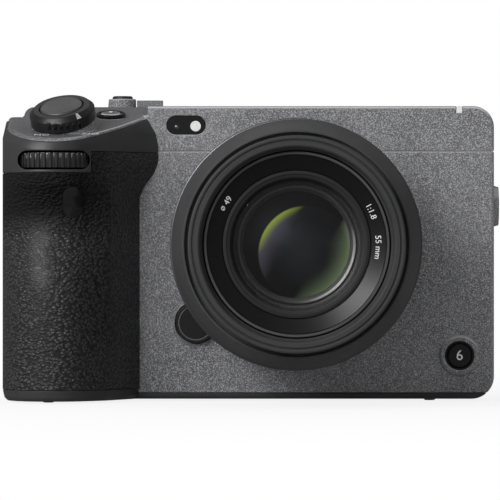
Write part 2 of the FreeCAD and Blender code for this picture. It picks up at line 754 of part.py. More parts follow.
def cap_zone(shift):
    low = box(left_x - 5, cap_step_x - shift, grip_front_y - 5, far, cap_low_z + shift, far)
    high = box(cap_step_x - 1, far, grip_front_y - 5, far, cap_high_z + shift, far)
    return low.fuse(high)


def remote_opening(grow):
    x, z = remote_at
    return stadium_y(x, z, 5.3 + grow, 8.2 + grow, grip_front_y - 1, grip_front_y + finger_hollow + 8)


def grip_leather():
    skin = grip_form(0, foot_z, split_z).cut(grip_form(leather, foot_z - 1, split_z + 1))
    skin = skin.common(front_zone(far)).cut(cap_zone(-part_gap / 2))
    return skin.cut(remote_opening(0.1))


card_door_y = (cap_back_y + 3.6, rear_split_y - 1.0)
card_door_z = (12.0, split_z - 13.7)
card_hinge = V(left_x + 0.75, card_door_y[0], 0)
card_y = (13.0, 16.2)
card_z0 = 20.0


def grip_shell():
    # Stiff plastic core of the grip; behind the leather it becomes the card door frame.
    outer = grip_form(leather + 0.05, foot_z, split_z)
    core = outer.cut(grip_form(leather + shell_wall, foot_z - 1, split_z + 1))
    core = core.common(front_zone(far)).cut(cap_zone(-part_gap / 2))
    inner_x = left_x + leather + shell_wall
    frame = box(left_x, inner_x, cap_back_y - part_gap / 2, rear_split_y - part_gap, foot_z, middle_high)
    y0, y1 = card_door_y
    z0, z1 = card_door_z
    frame = frame.cut(box(left_x - 1, left_x + 1.7, y0 - door_knuckle - free_gap, y1 + free_gap,
                          z0 - free_gap, z1 + free_gap))
    frame = frame.cut(box(left_x, inner_x + 1, card_y[0] - 0.5, card_y[1] + card_size[1] + 0.5,
                          card_z0 - 0.5, card_z0 + card_size[2] + 0.5))
    core = join(core, frame).cut(remote_opening(0.1))
    core = core.cut(insert_hole(left_plate_at, RIGHT, 6.0))
    return core.cut(pin_hole(card_hinge.x, card_hinge.y, z0, z1))


def card_door():
    y0, y1 = card_door_y
    z0, z1 = card_door_z
    door = box(left_x, left_x + door_thick, y0, y1, z0, z1)
    eye = rod(V(card_hinge.x, y0, z0), UP, door_knuckle, z1 - z0)
    grip_lip = box(left_x - 0.5, left_x + 0.1, y1 - 2.6, y1 - 0.8, z0 + 12, z1 - 12)
    door = join(door, eye, grip_lip)
    return door.cut(rod(V(card_hinge.x, y0, z0 - 1), UP, 0.35 + run_gap, z1 - z0 + 2))


dial_slot_width = 2 * dial_r + 0.8
dial_slot_height = dial_thick + 0.9


def grip_top_cap():
    # Smooth black cap between the leather and the deck, with the slot and post of the dial.
    rim = upper_form(0, cap_low_z, body_height).cut(upper_form(cap_wall, cap_low_z - 1, body_height + 1))
    rim = rim.common(front_zone(far)).common(cap_zone(part_gap / 2))
    shelf = upper_form(cap_wall - 0.2, cap_high_z + 0.7, cap_high_z + 1.9)
    shelf = shelf.common(box(left_x, far, grip_front_y, panel_y - part_gap, 0, far))
    post = rod(V(front_dial_at.x, front_dial_at.y, cap_low_z + 0.6), UP, axle_r, cap_high_z - cap_low_z + 0.5)
    rim = rim.cut(rod(V(front_dial_at.x, front_dial_at.y, front_dial_at.z - dial_thick / 2 - free_gap), UP,
                      dial_r + free_gap, dial_thick + 2 * free_gap))
    rim = rim.cut(stadium_y(front_dial_at.x, front_dial_at.z, dial_slot_width, dial_slot_height,
                            grip_front_y - 1, grip_front_y + dial_r + 1.0))
    return join(rim, shelf, post).cut(over_top(deck_plate + part_gap / 2))


def sensor_windows():
    # Two dark infrared windows: one on the grip, one round the focus lamp.
    grip_window = remote_opening(0).common(grip_form(0.15, foot_z, split_z))
    grip_window = grip_window.cut(grip_form(leather + shell_wall, foot_z - 1, split_z + 1))
    x, z = lamp_window_at
    lamp_window = stadium_y(x, z, 10.2, 4.8, panel_y + 0.15, panel_y + wall + 0.3)
    lamp_window = lamp_window.cut(rod(V(lamp_at[0], panel_y - 1, lamp_at[1]), REAR, lamp_r + 0.05, 5))
    return Part.makeCompound([grip_window, lamp_window])


lamp_at = (lamp_window_at[0] + 2.5, lamp_window_at[1] - 0.25)
lamp_r = 1.38


def lamps():
    lamp = rod(V(lamp_at[0], panel_y + 0.05, lamp_at[1]), REAR, lamp_r, wall + 0.4)
    tally = box(tally_x - 0.75, tally_x + 0.75, panel_y + 0.05, panel_y + 2.1, body_height - 1.85,
                body_height - 0.05)
    return Part.makeCompound([lamp, tally])


# Dials, switch and buttons
def ribbed_wheel(center, axis, radius, thick, ribs, bore):
    # A thumb wheel with raised ribs round its rim.
    start = along(center, axis, -thick / 2)
    wheel = rod(start, axis, radius - 0.55, thick)
    for k in range(ribs):
        rib = box(radius - 1.0, radius, -0.42, 0.42, 0, thick)
        rib.rotate(V(0, 0, 0), V(0, 0, 1), 360.0 * k / ribs)
        rib.translate(start)
        wheel = wheel.fuse(rib)
    return wheel.removeSplitter().cut(rod(start, axis, bore, thick))


def front_dial():
    return ribbed_wheel(front_dial_at, UP, dial_r, dial_thick, dial_ribs, axle_r + run_gap)


def rear_dial():
    return ribbed_wheel(rear_dial_at, UP, rear_dial_r, dial_thick, dial_ribs, axle_r + run_gap)


def power_switch_ring():
    # Ring lever round the shutter button, ribbed at the front.
    bevel = 1.2
    lower = rod(knob_base, knob_axis, knob_r, knob_height - bevel)
    upper = Part.makeCone(knob_r, knob_r - 1.2, bevel, along(knob_base, knob_axis, knob_height - bevel),
                          knob_axis)
    ring = join(lower, upper)
    side = V(1, 0, 0).cross(knob_axis)
    side.normalize()
    for k in range(6):
        angle = math.radians(-112.0 + 11.0 * k)
        reach = V(math.cos(angle), 0, 0) - V(side.x * math.sin(angle), side.y * math.sin(angle),
                                             side.z * math.sin(angle))
        spot = along(knob_base, reach, knob_r - 0.1)
        ring = ring.fuse(rod(along(spot, knob_axis, 0.6), knob_axis, 0.42, knob_height - bevel - 0.8))
    well = rod(along(knob_base, knob_axis, shutter_well), knob_axis, shutter_r + free_gap, knob_height)
    bore = rod(along(knob_base, knob_axis, -1), knob_axis, stem_r + 1.2 + run_gap, 4)
    return ring.cut(well).cut(bore)


def shutter_button():
    disc = rod(along(knob_base, knob_axis, shutter_reach - shutter_disc), knob_axis, shutter_r,
               shutter_disc - 0.3)
    crown = Part.makeCone(shutter_r, shutter_r - 0.4, 0.3, along(knob_base, knob_axis, shutter_reach - 0.3),
                          knob_axis)
    stem = rod(along(knob_base, knob_axis, -4.0), knob_axis, stem_r, shutter_reach + 3.0)
    return join(disc, crown, stem)


def top_button():
    return button(top_button_at, deck_normal, record_r, 1.2, roof)


def record_button():
    return button(record_at, UP, record_r, 3.4, roof)


def key_button():
    # Low square key beside the record button.
    top = box(key_at.x - 3.5, key_at.x + 3.5, key_at.y - 3.0, key_at.y + 3.0,
              body_height - roof - 1.1, body_height + 2.2)
    flange = box(key_at.x - 3.5, key_at.x + 3.5, key_at.y - 3.7, key_at.y + 3.7,
                 body_height - roof - 1.1, body_height - roof - free_gap)
    return join(top, flange)


def front_button():
    face = V(front_button_at.x, panel_y - collar_proud, front_button_at.z)
    return button(face, FRONT, front_button_r, 0.15, wall + collar_proud)


def rear_button(place):
    return button(place, REAR, small_r, 0.7, wall)


def centre_button():
    return button(V(wheel_at.x, thumb_y + 0.2, wheel_at.z), REAR, 3.6, 0.9, thumb_bump + wall + 0.2)


def control_wheel():
    start = V(wheel_at.x, thumb_y - 2.0, wheel_at.z)
    wheel = rod(start, REAR, wheel_r, 2.3)
    crown = Part.makeCone(wheel_r, wheel_r - 0.6, 0.6, V(start.x, start.y + 2.3, start.z), REAR)
    wheel = join(wheel, crown)
    return wheel.cut(rod(start, REAR, wheel_bore_r, 4))


stick_pivot = V(stick_at.x, thumb_y - 2.2, stick_at.z)


def joystick_gimbal():
    start = V(stick_pivot.x, stick_pivot.y - 0.6, stick_pivot.z)
    return tube(start, REAR, 3.2, 1.9, 1.2)


def joystick_cap():
    ball = Part.makeSphere(1.6, stick_pivot)
    stem = rod(stick_pivot, REAR, 1.1, 3.6)
    head_at = V(stick_pivot.x, stick_pivot.y + 3.4, stick_pivot.z)
    head = rod(head_at, REAR, 3.3, 0.9)
    crown = Part.makeCone(3.3, 2.5, 0.7, V(head_at.x, head_at.y + 0.9, head_at.z), REAR)
    return join(ball, stem, head, crown)


# Lens mount and lens release
release_axis = V(release_at.x, 0, release_at.z - lens_z)
release_axis.normalize()
bolt_circle = (mount_ring_r + throat_r + 1.55) / 2
lock_at = V(release_axis.x * bolt_circle, 0, lens_z + release_axis.z * bolt_circle)
lock_r = 1.0
lock_reach = 1.1
release_travel = 1.4
chassis_y = panel_y + 2.1
chassis_thick = 1.8
arm_y = chassis_y + chassis_thick + free_gap


def mount_screw_spots():
    return [(bolt_circle * math.cos(a), lens_z + bolt_circle * math.sin(a))
            for a in (0, math.pi / 2, math.pi, 1.5 * math.pi)]


def lock_hole():
    return rod(V(lock_at.x, flange_y - 5, lock_at.z), REAR, lock_r + run_gap, 20)


def mount_ring():
    # Steel bayonet ring: three lips in front of a groove, with gaps between them.
    y = flange_y
    ring = lathe([(y, throat_r), (y, mount_ring_r), (y + mount_proud, mount_ring_r),
                  (y + mount_proud, throat_r + 0.5), (y + 3.4, throat_r + 0.5),
                  (y + 3.4, throat_r + 1.9), (y + 1.4, throat_r + 1.9), (y + 1.4, throat_r)])
    for k in range(3):
        ring = ring.cut(sector(throat_r - 1, throat_r + 1.9, y - 1, y + 1.4, 30 + 120 * k, 50))
    for x, z in mount_screw_spots():
        ring = ring.cut(rod(V(x, y - 1, z), REAR, 1.52, 2.0))
        ring = ring.cut(rod(V(x, y, z), REAR, screw_r + 0.02, 9))
    return ring.cut(lock_hole())


def sector(r0, r1, y0, y1, middle, span):
    # Part of a ring round the lens axis; angles in degrees from +X towards +Z.
    ring = tube(V(0, y0, lens_z), REAR, r1, r0, y1 - y0)
    a0 = math.radians(middle - span / 2)
    a1 = math.radians(middle + span / 2)
    reach = 3 * r1
    mid = (a0 + a1) / 2
    points = [(0, lens_z)] + [(reach * math.cos(a), lens_z + reach * math.sin(a)) for a in (a0, mid, a1)]
    return ring.common(prism_y(points, y0, y1))


def lens_bayonet():
    # Chromed rear flange of the lens with three tabs that sit behind the ring's lips.
    y = flange_y
    body = lathe([(y, mount_ring_r + 1.0), (y - 2.4, mount_ring_r + 1.0), (y - 2.4, throat_r - 3.05),
                  (y + mount_proud - 0.2, throat_r - 3.05), (y + mount_proud - 0.2, throat_r - 0.4),
                  (y, throat_r - 0.4)])
    for k in range(3):
        body = body.fuse(sector(throat_r - 1.0, throat_r + 1.4, y + 1.7, y + 3.0, 90 + 120 * k, 44))
    socket = rod(V(lock_at.x, y - lock_reach - 0.2, lock_at.z), REAR, lock_r + 0.25, lock_reach + 1)
    return body.removeSplitter().cut(socket)


def lens_release_button():
    # Button, arm behind the chassis and the lock pin that it pulls out of the lens.
    disc_y = chassis_y - free_gap - release_travel
    disc = rod(V(release_at.x, panel_y - 2.0, release_at.z), REAR, release_r, disc_y - panel_y + 2.0)
    disc = disc.cut(rod(V(0, panel_y - 5, lens_z), REAR, mount_ring_r + 0.4, 10))
    stem_at = V(release_at.x - 0.6, 0, release_at.z - 0.6)
    stem = rod(V(stem_at.x, disc_y - 0.2, stem_at.z), REAR, 2.6, arm_y + 1.0 - disc_y + 0.2)
    arm = box(-4.2, 4.2, 0, 1.0, -1.6, 1.6)
    angle = math.degrees(math.atan2(release_axis.z, release_axis.x))
    arm.rotate(V(0, 0, 0), V(0, 1, 0), -angle)
    middle = V((stem_at.x + lock_at.x) / 2, arm_y, (stem_at.z + lock_at.z) / 2)
    arm.translate(middle)
    pin_y = flange_y - lock_reach
    pin = rod(V(lock_at.x, pin_y, lock_at.z), REAR, lock_r, arm_y + 1.0 - pin_y)
    return join(disc, stem, arm, pin)


def contact_block():
    contact_r = throat_r - 2.45
    block = sector(throat_r - 5.55, throat_r + 0.4, panel_y + 0.4, chassis_y + chassis_thick, 270, 52)
    for k in range(10):
        angle = math.radians(270 - 22.5 + 5 * k)
        spot = V(contact_r * math.cos(angle), panel_y + 0.1, lens_z + contact_r * math.sin(angle))
        block = block.fuse(rod(spot, REAR, 0.5, 0.6))
    return block.removeSplitter()


# Lens
lens_front_y = flange_y - lens_length
barrel_y = flange_y - 2.5
focus_rear_y = barrel_y - 19.5
focus_front_y = focus_rear_y - focus_width
sleeve_in_r = sleeve_r - 1.5
ring_seat_y = lens_front_y + filter_depth
cell_r = glass_r - 0.25
trim_r = filter_r - 0.7
stop_y = focus_front_y + 8.0
blade_thick = 0.3


def rear_barrel():
    # Fixed barrel: tapered skin, sleeve for the focus ring, rear cell and aperture flange.
    y = barrel_y
    sleeve_end = focus_front_y - 1.2
    skin = lathe([(y, lens_r - 1.8), (y - 4.0, lens_r - 0.5), (focus_rear_y + free_gap, lens_r - 0.2),
                  (focus_rear_y + free_gap, sleeve_r), (sleeve_end, sleeve_r), (sleeve_end, sleeve_in_r),
                  (stop_y - 1.2, sleeve_in_r), (stop_y - 1.2, 13.0), (stop_y, 13.0), (stop_y, sleeve_in_r),
                  (y - 2.0, sleeve_in_r), (y - 2.0, rear_glass_r + 1.5), (y - 10.0, rear_glass_r + 1.5),
                  (y - 10.0, rear_glass_r), (y, rear_glass_r)])
    return skin


def focus_ring():
    # Metal ring that turns on the sleeve, with three shallow grooves.
    y0 = focus_front_y
    y1 = focus_rear_y
    inner = sleeve_r + run_gap
    outline = [(y0, inner), (y0, lens_r - 0.3), (y0 + 0.3, lens_r)]
    for k in range(3):
        y = y0 + 3.0 + 2.2 * k
        outline += [(y, lens_r), (y + 0.4, lens_r - 0.4), (y + 0.8, lens_r)]
    outline += [(y1 - 0.3, lens_r), (y1, lens_r - 0.3), (y1, inner)]
    return lathe(outline)


def front_barrel():
    # Bevelled front, hood tube with its groove, filter thread and the cell of the front glass.
    y = lens_front_y
    f = focus_front_y - free_gap
    seat_front = focus_front_y - 1.4
    bevel_y = y + 10.0
    cell_front = ring_seat_y + 0.9
    disc_y = ring_seat_y + 1.8
    outline = [(f, lens_r - 0.3), (f - 0.3, lens_r), (f - 2.2, lens_r), (f - 6.0, lens_r - 0.9),
               (bevel_y, bevel_r), (bevel_y, hood_r + 1.0), (bevel_y + 2.0, hood_r + 1.0),
               (bevel_y + 2.0, hood_r), (y + 3.4, hood_r), (y + 3.2, hood_r - 0.5), (y + 2.6, hood_r - 0.5),
               (y + 2.4, hood_r), (y + 0.3, hood_r), (y, hood_r - 0.3), (y, hood_r - 1.0),
               (y + 0.35, hood_r - 1.2), (y, hood_r - 1.4), (y, filter_r + 0.5), (y + 0.4, filter_r),
               (ring_seat_y, filter_r), (ring_seat_y, trim_r + 0.1), (disc_y, trim_r + 0.1),
               (disc_y, glass_r + 1.4), (cell_front, glass_r + 1.4),
               (cell_front, glass_r + 0.2), (cell_front + 2.0, glass_r - 1.1),
               (cell_front + 2.4, glass_r - 1.1), (cell_front + 2.4, cell_r), (y + 22.5, cell_r),
               (y + 22.5, glass_r + 1.4), (disc_y + 2.0, glass_r + 1.4), (disc_y + 2.0, sleeve_in_r - 2.5),
               (stop_y - 3.4, sleeve_in_r - 2.5), (stop_y - 3.4, sleeve_in_r - 0.1),
               (seat_front, sleeve_in_r - 0.1), (seat_front, sleeve_r + 0.1), (f, sleeve_r + 0.1)]
    return lathe(outline)


def name_ring():
    # Flat trim ring round the front glass with a bright rim.
    y = ring_seat_y
    inner = glass_r + 1.5
    return lathe([(y + 0.2, inner), (y + 0.2, trim_r - 1.2), (y, trim_r - 1.1), (y, trim_r - 0.6),
                  (y + 0.6, trim_r - 0.3), (y + 0.6, trim_r), (y + 1.75, trim_r), (y + 1.75, inner)])


def glass_piece(y_front, y_edge_front, y_edge_rear, y_rear, radius):
    # One lens element: front vertex, edge front, edge rear and rear vertex along the axis.
    def p(y, r):
        return V(0, y, lens_z + r)

    def surface(y_middle, y_edge):
        share = 0.5
        return Part.Arc(p(y_middle, 0), p(y_middle + (y_edge - y_middle) * share ** 2, radius * share),
                        p(y_edge, radius))

    edges = [surface(y_front, y_edge_front).toShape(),
             Part.LineSegment(p(y_edge_front, radius), p(y_edge_rear, radius)).toShape(),
             surface(y_rear, y_edge_rear).toShape(),
             Part.LineSegment(p(y_rear, 0), p(y_front, 0)).toShape()]
    face = Part.Face(Part.Wire(Part.sortEdges(edges)[0]))
    return face.revolve(V(0, 0, lens_z), V(0, 1, 0), 360)


def lens_elements():
    # Front group in the front cell, rear group in the rear cell.
    y = ring_seat_y + 3.6
    r = cell_r - 0.05
    rear_y = barrel_y
    rear_r = rear_glass_r - 0.05
    pieces = [glass_piece(y - 1.9, y, y + 3.2, y + 1.9, r),
              glass_piece(y + 3.4, y + 5.0, y + 8.2, y + 8.9, r),
              glass_piece(y + 10.4, y + 9.4, y + 12.0, y + 11.4, r),
              glass_piece(rear_y - 8.8, rear_y - 7.8, rear_y - 5.4, rear_y - 4.6, rear_r),
              glass_piece(rear_y - 4.2, rear_y - 4.4, rear_y - 1.2, rear_y - 0.6, rear_r)]
    return Part.makeCompound(pieces)


def focus_group():
    # Carrier with its glass; a linear motor moves it along the axis.
    y = stop_y + focus_travel + 1.5
    outer = sleeve_in_r - free_gap
    carrier = lathe([(y, outer), (y + 5.0, outer), (y + 5.0, outer - 1.5), (y + 3.0, outer - 1.5),
                     (y + 3.0, 13.5), (y + 1.0, 13.5), (y + 1.0, outer - 1.5), (y, outer - 1.5)])
    glass = glass_piece(y + 1.7, y + 1.0, y + 3.0, y + 2.3, 13.45)
    return Part.makeCompound([carrier, glass])


def aperture_blades():
    # Nine curved blades, fanned in three layers on the aperture flange.
    blades = []
    for k in range(blade_count):
        y = stop_y - 1.25 - blade_thick - (blade_thick + 0.05) * (k % 3)
        blades.append(sector(12.0, sleeve_in_r - 3.4, y, y + blade_thick, 360.0 * k / blade_count, 56))
    return Part.makeCompound(blades)


# Inside the body
def chassis():
    # Front plate with the mount boss, posts, and the rear plate behind the sensor.
    y0 = chassis_y
    y1 = y0 + chassis_thick
    half = mount_ring_r + 8.0
    front = box(-half, half, y0, y1, base_z + 2.4, split_z - 1.7)
    front = front.fuse(rod(V(0, panel_y, lens_z), REAR, mount_ring_r, 3.0))
    shelf = box(-half, half, y0, plate_y + 1.1, base_z + 0.3, base_z + 2.5)
    rear = box(-half, half, plate_y, plate_y + 1.1, base_z + 2.4, split_z - 1.7)
    rear = rear.cut(rod(V(0, plate_y - 1, lens_z), REAR, 9.0, 4))
    posts = [rod(V(s * (half - 1.6), y1 - 0.1, lens_z + t * 22.5), REAR, 1.4, plate_y - y1 + 0.2)
             for s in (-1, 1) for t in (-1, 1)]
    feet = [box(half - 3.0, right_x - wall - 0.3, y0, y1, z, z + 5.0) for z in (24.0, split_z - 8.7)]
    frame = join(front, shelf, rear, *posts, *feet)
    frame = frame.cut(rod(V(0, panel_y - 1, lens_z), REAR, throat_r + 0.6, chassis_thick + 6))
    frame = frame.cut(lock_hole())
    frame = frame.cut(rod(V(release_at.x - 0.6, panel_y, release_at.z - 0.6), REAR, 2.6 + free_gap, 8))
    for x, z in mount_screw_spots():
        frame = frame.cut(rod(V(x, panel_y - 1, z), REAR, screw_r + 0.02, 6))
    frame = frame.cut(insert_hole(V(0, 0, 0), UP, tripod_depth + 1.0))
    for x, y in base_screws:
        frame = frame.cut(rod(V(x, y, 0), UP, screw_r + 0.02, 9))
    return frame


plate_y = 5.5
block_y = -8.8
shutter_half = 24.0


def shutter_unit():
    # Frame with the picture opening; its lower corner clears the lens release arm.
    frame = box(-shutter_half, shutter_half, block_y, block_y + 4.2, lens_z - 20, lens_z + 20)
    frame = frame.cut(box(-18.6, 18.6, block_y - 1, block_y + 6, lens_z - 12.9, lens_z + 12.9))
    return frame.cut(box(-shutter_half - 1, -16.6, block_y - 1, block_y + 6, 0, lens_z - 13.7))


def image_sensor():
    glass_x, glass_z = sensor_size
    package = box(-22, 22, -0.8, 1.8, lens_z - 16, lens_z + 16)
    cover = box(-glass_x / 2, glass_x / 2, -2.4, -0.82, lens_z - glass_z / 2, lens_z + glass_z / 2)
    return Part.makeCompound([package, cover])


stage_half = 27.0


def sensor_stage_z():
    return box(-stage_half, stage_half, 1.82, 3.4, lens_z - 19.5, lens_z + 19.5)


def sensor_stage_x():
    half = stage_half + stage_travel + 1.5
    stage = box(-half, half, 3.7, 5.2, lens_z - 21.5, lens_z + 21.5)
    return stage.cut(box(-20, 20, 3, 6, lens_z - 14, lens_z + 14))


board_y = plate_y + 1.4
board_left = left_x + 37.7
board_right = right_x - 9.0
board_top = split_z - 3.7


def main_board():
    board = box(board_left, board_right, board_y, board_y + 1.4, 14, board_top)
    chips = [box(x, x + 12, board_y + 1.3, board_y + 2.2, z, z + 12)
             for x in (-16, 4) for z in (22, board_top - 20)]
    board = join(board, *chips)
    y0 = card_y[0] - 0.6
    y1 = card_y[1] + card_size[1] + 0.6
    cage_end = left_x + 3.2 + card_size[0] + 1.3
    cage = box(left_x + 4.2, cage_end, y0, y1, card_z0 - 1.0, card_z0 + card_size[2] + 1)
    cage = join(cage, box(cage_end - 2.5, board_left + 2.0, board_y + 1.4, y0 + 0.1, 24, 40))
    for y in card_y:
        slot = box(left_x, left_x + 3.2 + card_size[0] + 0.1, y - 0.1, y + card_size[1] + 0.1,
                   card_z0 - 0.1, card_z0 + card_size[2] + 0.1)
        cage = cage.cut(slot)
    return Part.makeCompound([board, cage])


def memory_cards():
    return Part.makeCompound([box(left_x + 3.2, left_x + 3.2 + card_size[0], y, y + card_size[1],
                                  card_z0, card_z0 + card_size[2]) for y in card_y])


sink_y = board_y + 2.5
fan_y = sink_y + 4.7
fan_side_in = 26.5
fan_at = V(right_x - fan_side_in, fan_y, board_top - 21.0)
sink_x = (-20.0, board_right - 4.0)
sink_z = (16.0, board_top - 2.0)
fin_count = 11
fan_r = 10.6


def heat_sink():
    x0, x1 = sink_x
    z0, z1 = sink_z
    pitch = (x1 - x0 - 4.0) / (fin_count - 1)
    base = box(x0, x1, sink_y, sink_y + 1.0, z0, z1)
    fins = [box(x0 + pitch * k, x0 + pitch * k + 1.0, sink_y + 0.9, sink_y + 4.4, z0, z1)
            for k in range(fin_count)]
    return join(base, *fins)


def fan_housing():
    # Flat blower: a round chamber with an outlet towards the side slots.
    depth = rear_split_y + rear_lap - wall - 0.3 - fan_y
    case = box(fan_at.x - 13, fan_at.x + 13, fan_y, fan_y + depth, fan_at.z - 13, fan_at.z + 13)
    case = case.cut(rod(V(fan_at.x, fan_y + 1.0, fan_at.z), REAR, fan_r + 0.8, depth - 2.0))
    case = case.cut(rod(V(fan_at.x, fan_y - 1.0, fan_at.z), REAR, 6.5, 3.0))
    outlet = box(fan_at.x, fan_at.x + 14, fan_y + 1.0, fan_y + depth - 1.0, fan_at.z + 2, fan_at.z + 11)
    case = case.cut(outlet)
    return join(case, rod(V(fan_at.x, fan_y + 1.6, fan_at.z), REAR, axle_r, depth - 2.0))


def fan_rotor():
    depth = rear_split_y + rear_lap - wall - 0.3 - fan_y - 3.2
    start = V(fan_at.x, fan_y + 1.5, fan_at.z)
    hub = rod(start, REAR, 4.2, depth)
    for k in range(11):
        vane = box(3.9, fan_r, -0.3, 0.3, 0, depth)
        vane.rotate(V(0, 0, 0), V(0, 0, 1), 360.0 * k / 11)
        vane.rotate(V(0, 0, 0), V(1, 0, 0), -90)
        vane.translate(start)
        hub = hub.fuse(vane)
    return hub.removeSplitter().cut(rod(along(start, REAR, -1), REAR, axle_r + run_gap, depth + 2))


def battery():
    width, depth, height = battery_size
    z0 = door_thick_low + 0.5
    y0 = door_y0 + 0.8
    cell = box(door_x0, door_x0 + width, y0, y0 + depth, z0, z0 + height)
    return cell.makeChamfer(0.6, cell.Edges)


def battery_door():
    plate = box(door_x0, door_x1, door_y0, door_y1, 0, door_thick_low)
    y0 = door_y0 + 8.0 + free_gap
    y1 = door_y1 - 8.0 - free_gap
    eye = rod(V(door_hinge.x, y0, door_hinge.z), REAR, knuckle_r, y1 - y0)
    link = box(door_x1 - 0.5, door_hinge.x, y0, y1, door_hinge.z - knuckle_r, door_hinge.z + knuckle_r)
    door = join(plate, eye, link)
    middle = (door_y0 + door_y1) / 2
    door = door.cut(box(door_x0 + 2.0, door_x0 + 9.2, middle - 4.2, middle + 4.2, -1, 1.3))
    return door.cut(rod(V(door_hinge.x, y0 - 1, door_hinge.z), REAR, pin_r + run_gap, y1 - y0 + 2))


def battery_latch():
    # Slider in a recess of the door, with three ridges for a finger.
    middle = (door_y0 + door_y1) / 2
    slider = box(door_x0 + 2.3, door_x0 + 6.7, middle - 3.9, middle + 3.9, 0.3, 1.0)
    ridges = [box(door_x0 + 3.0 + 1.3 * k, door_x0 + 3.6 + 1.3 * k, middle - 3.2, middle + 3.2, 0.05, 0.4)
              for k in range(3)]
    return join(slider, *ridges)


def port_block():
    # Connector stack behind the two flaps: two sound jacks above, two digital ports below.
    x1 = right_x - wall - 0.1
    x0 = x1 - 6.3
    block = box(x0, x1, lower_door[0] + 1.0, lower_door[1] - 0.6, lower_door[2], upper_door[3] - 1.0)
    y = (lower_door[0] + lower_door[1]) / 2 + 0.2
    for z in (upper_door[3] - 6.0, upper_door[3] - 16.0):
        block = block.cut(rod(V(x1 - 6, y, z), RIGHT, 1.78, 7))
    # Each digital port is a deep mouth with a thin contact tongue left standing in it.
    mouths = [(2.3, 11.0, 25.0, -0.5, 0.9), (1.35, 34.0, 42.9, -0.35, 0.35)]
    for half_y, z0, z1, tongue_y0, tongue_y1 in mouths:
        mouth = box(x1 - 5, x1 + 1, y - half_y, y + half_y, z0, z1)
        tongue = box(x1 - 5, x1 - 0.6, y + tongue_y0, y + tongue_y1, z0 + 1.4, z1 - 1.4)
        block = block.cut(mouth.cut(tongue))
    return block


# Fasteners, pins and inserts
def fasteners():
    pieces = []
    for x, z in mount_screw_spots():
        head = rod(V(x, flange_y + 0.1, z), REAR, 1.5, 0.85)
        pieces.append(head.fuse(rod(V(x, flange_y + 0.9, z), REAR, screw_r, 6.2)))
    for x, y in base_screws:
        head = Part.makeCone(screw_r + 0.7, screw_r, 0.75, V(x, y, 0.05), UP)
        pieces.append(head.fuse(rod(V(x, y, 0.7), UP, screw_r, 3.2)))
    door_span = door_y1 - door_y0 - 8.4
    pieces.append(rod(V(door_hinge.x, door_y0 + 4.2, door_hinge.z), REAR, pin_r - 0.02, door_span))
    pins = [(card_hinge.x, card_hinge.y, card_door_z), (port_hinge_x, upper_door[0], upper_door[2:]),
            (port_hinge_x, lower_door[0], lower_door[2:])]
    for x, y, (z0, z1) in pins:
        pieces.append(rod(V(x, y, z0 - 1.2), UP, 0.35, z1 - z0 + 2.4))
    (low, _), (_, high) = lug_spans()
    pieces.append(rod(V(swing_axis.x, swing_axis.y, low + 0.1), UP, monitor_pin_r - 0.02, high - low - 0.2))
    return Part.makeCompound(pieces)


def insert(mouth, inward, depth):
    # Threaded steel bush with a blind tripod-size hole.
    bush = rod(mouth, inward, insert_r, depth)
    return bush.cut(rod(along(mouth, inward, -1), inward, tripod_r, tripod_depth + 1))


def thread_inserts():
    down = V(0, 0, -1)
    pieces = [insert(V(0, 0, 0), UP, tripod_depth + 0.8)]
    pieces += [insert(V(x, y, body_height), down, tripod_depth + 0.8) for x, y in top_insert_spots]
    boss_mouth = along(side_boss_at, RIGHT, 1.55)
    pieces.append(insert(boss_mouth, V(-1, 0, 0), tripod_depth + 0.8))
    plate_mouth = V(left_x - 0.6, left_plate_at.y, left_plate_at.z)
    plate = box(left_x - 0.6, left_x - 0.02, left_plate_at.y - 5.2, left_plate_at.y + 5.2,
                left_plate_at.z - 6.35, left_plate_at.z + 6.35)
    side = rod(plate_mouth, RIGHT, insert_r, tripod_depth + 0.8).fuse(plate)
    pieces.append(side.cut(rod(along(plate_mouth, RIGHT, -1), RIGHT, tripod_r, tripod_depth + 1)))
    return Part.makeCompound(pieces)


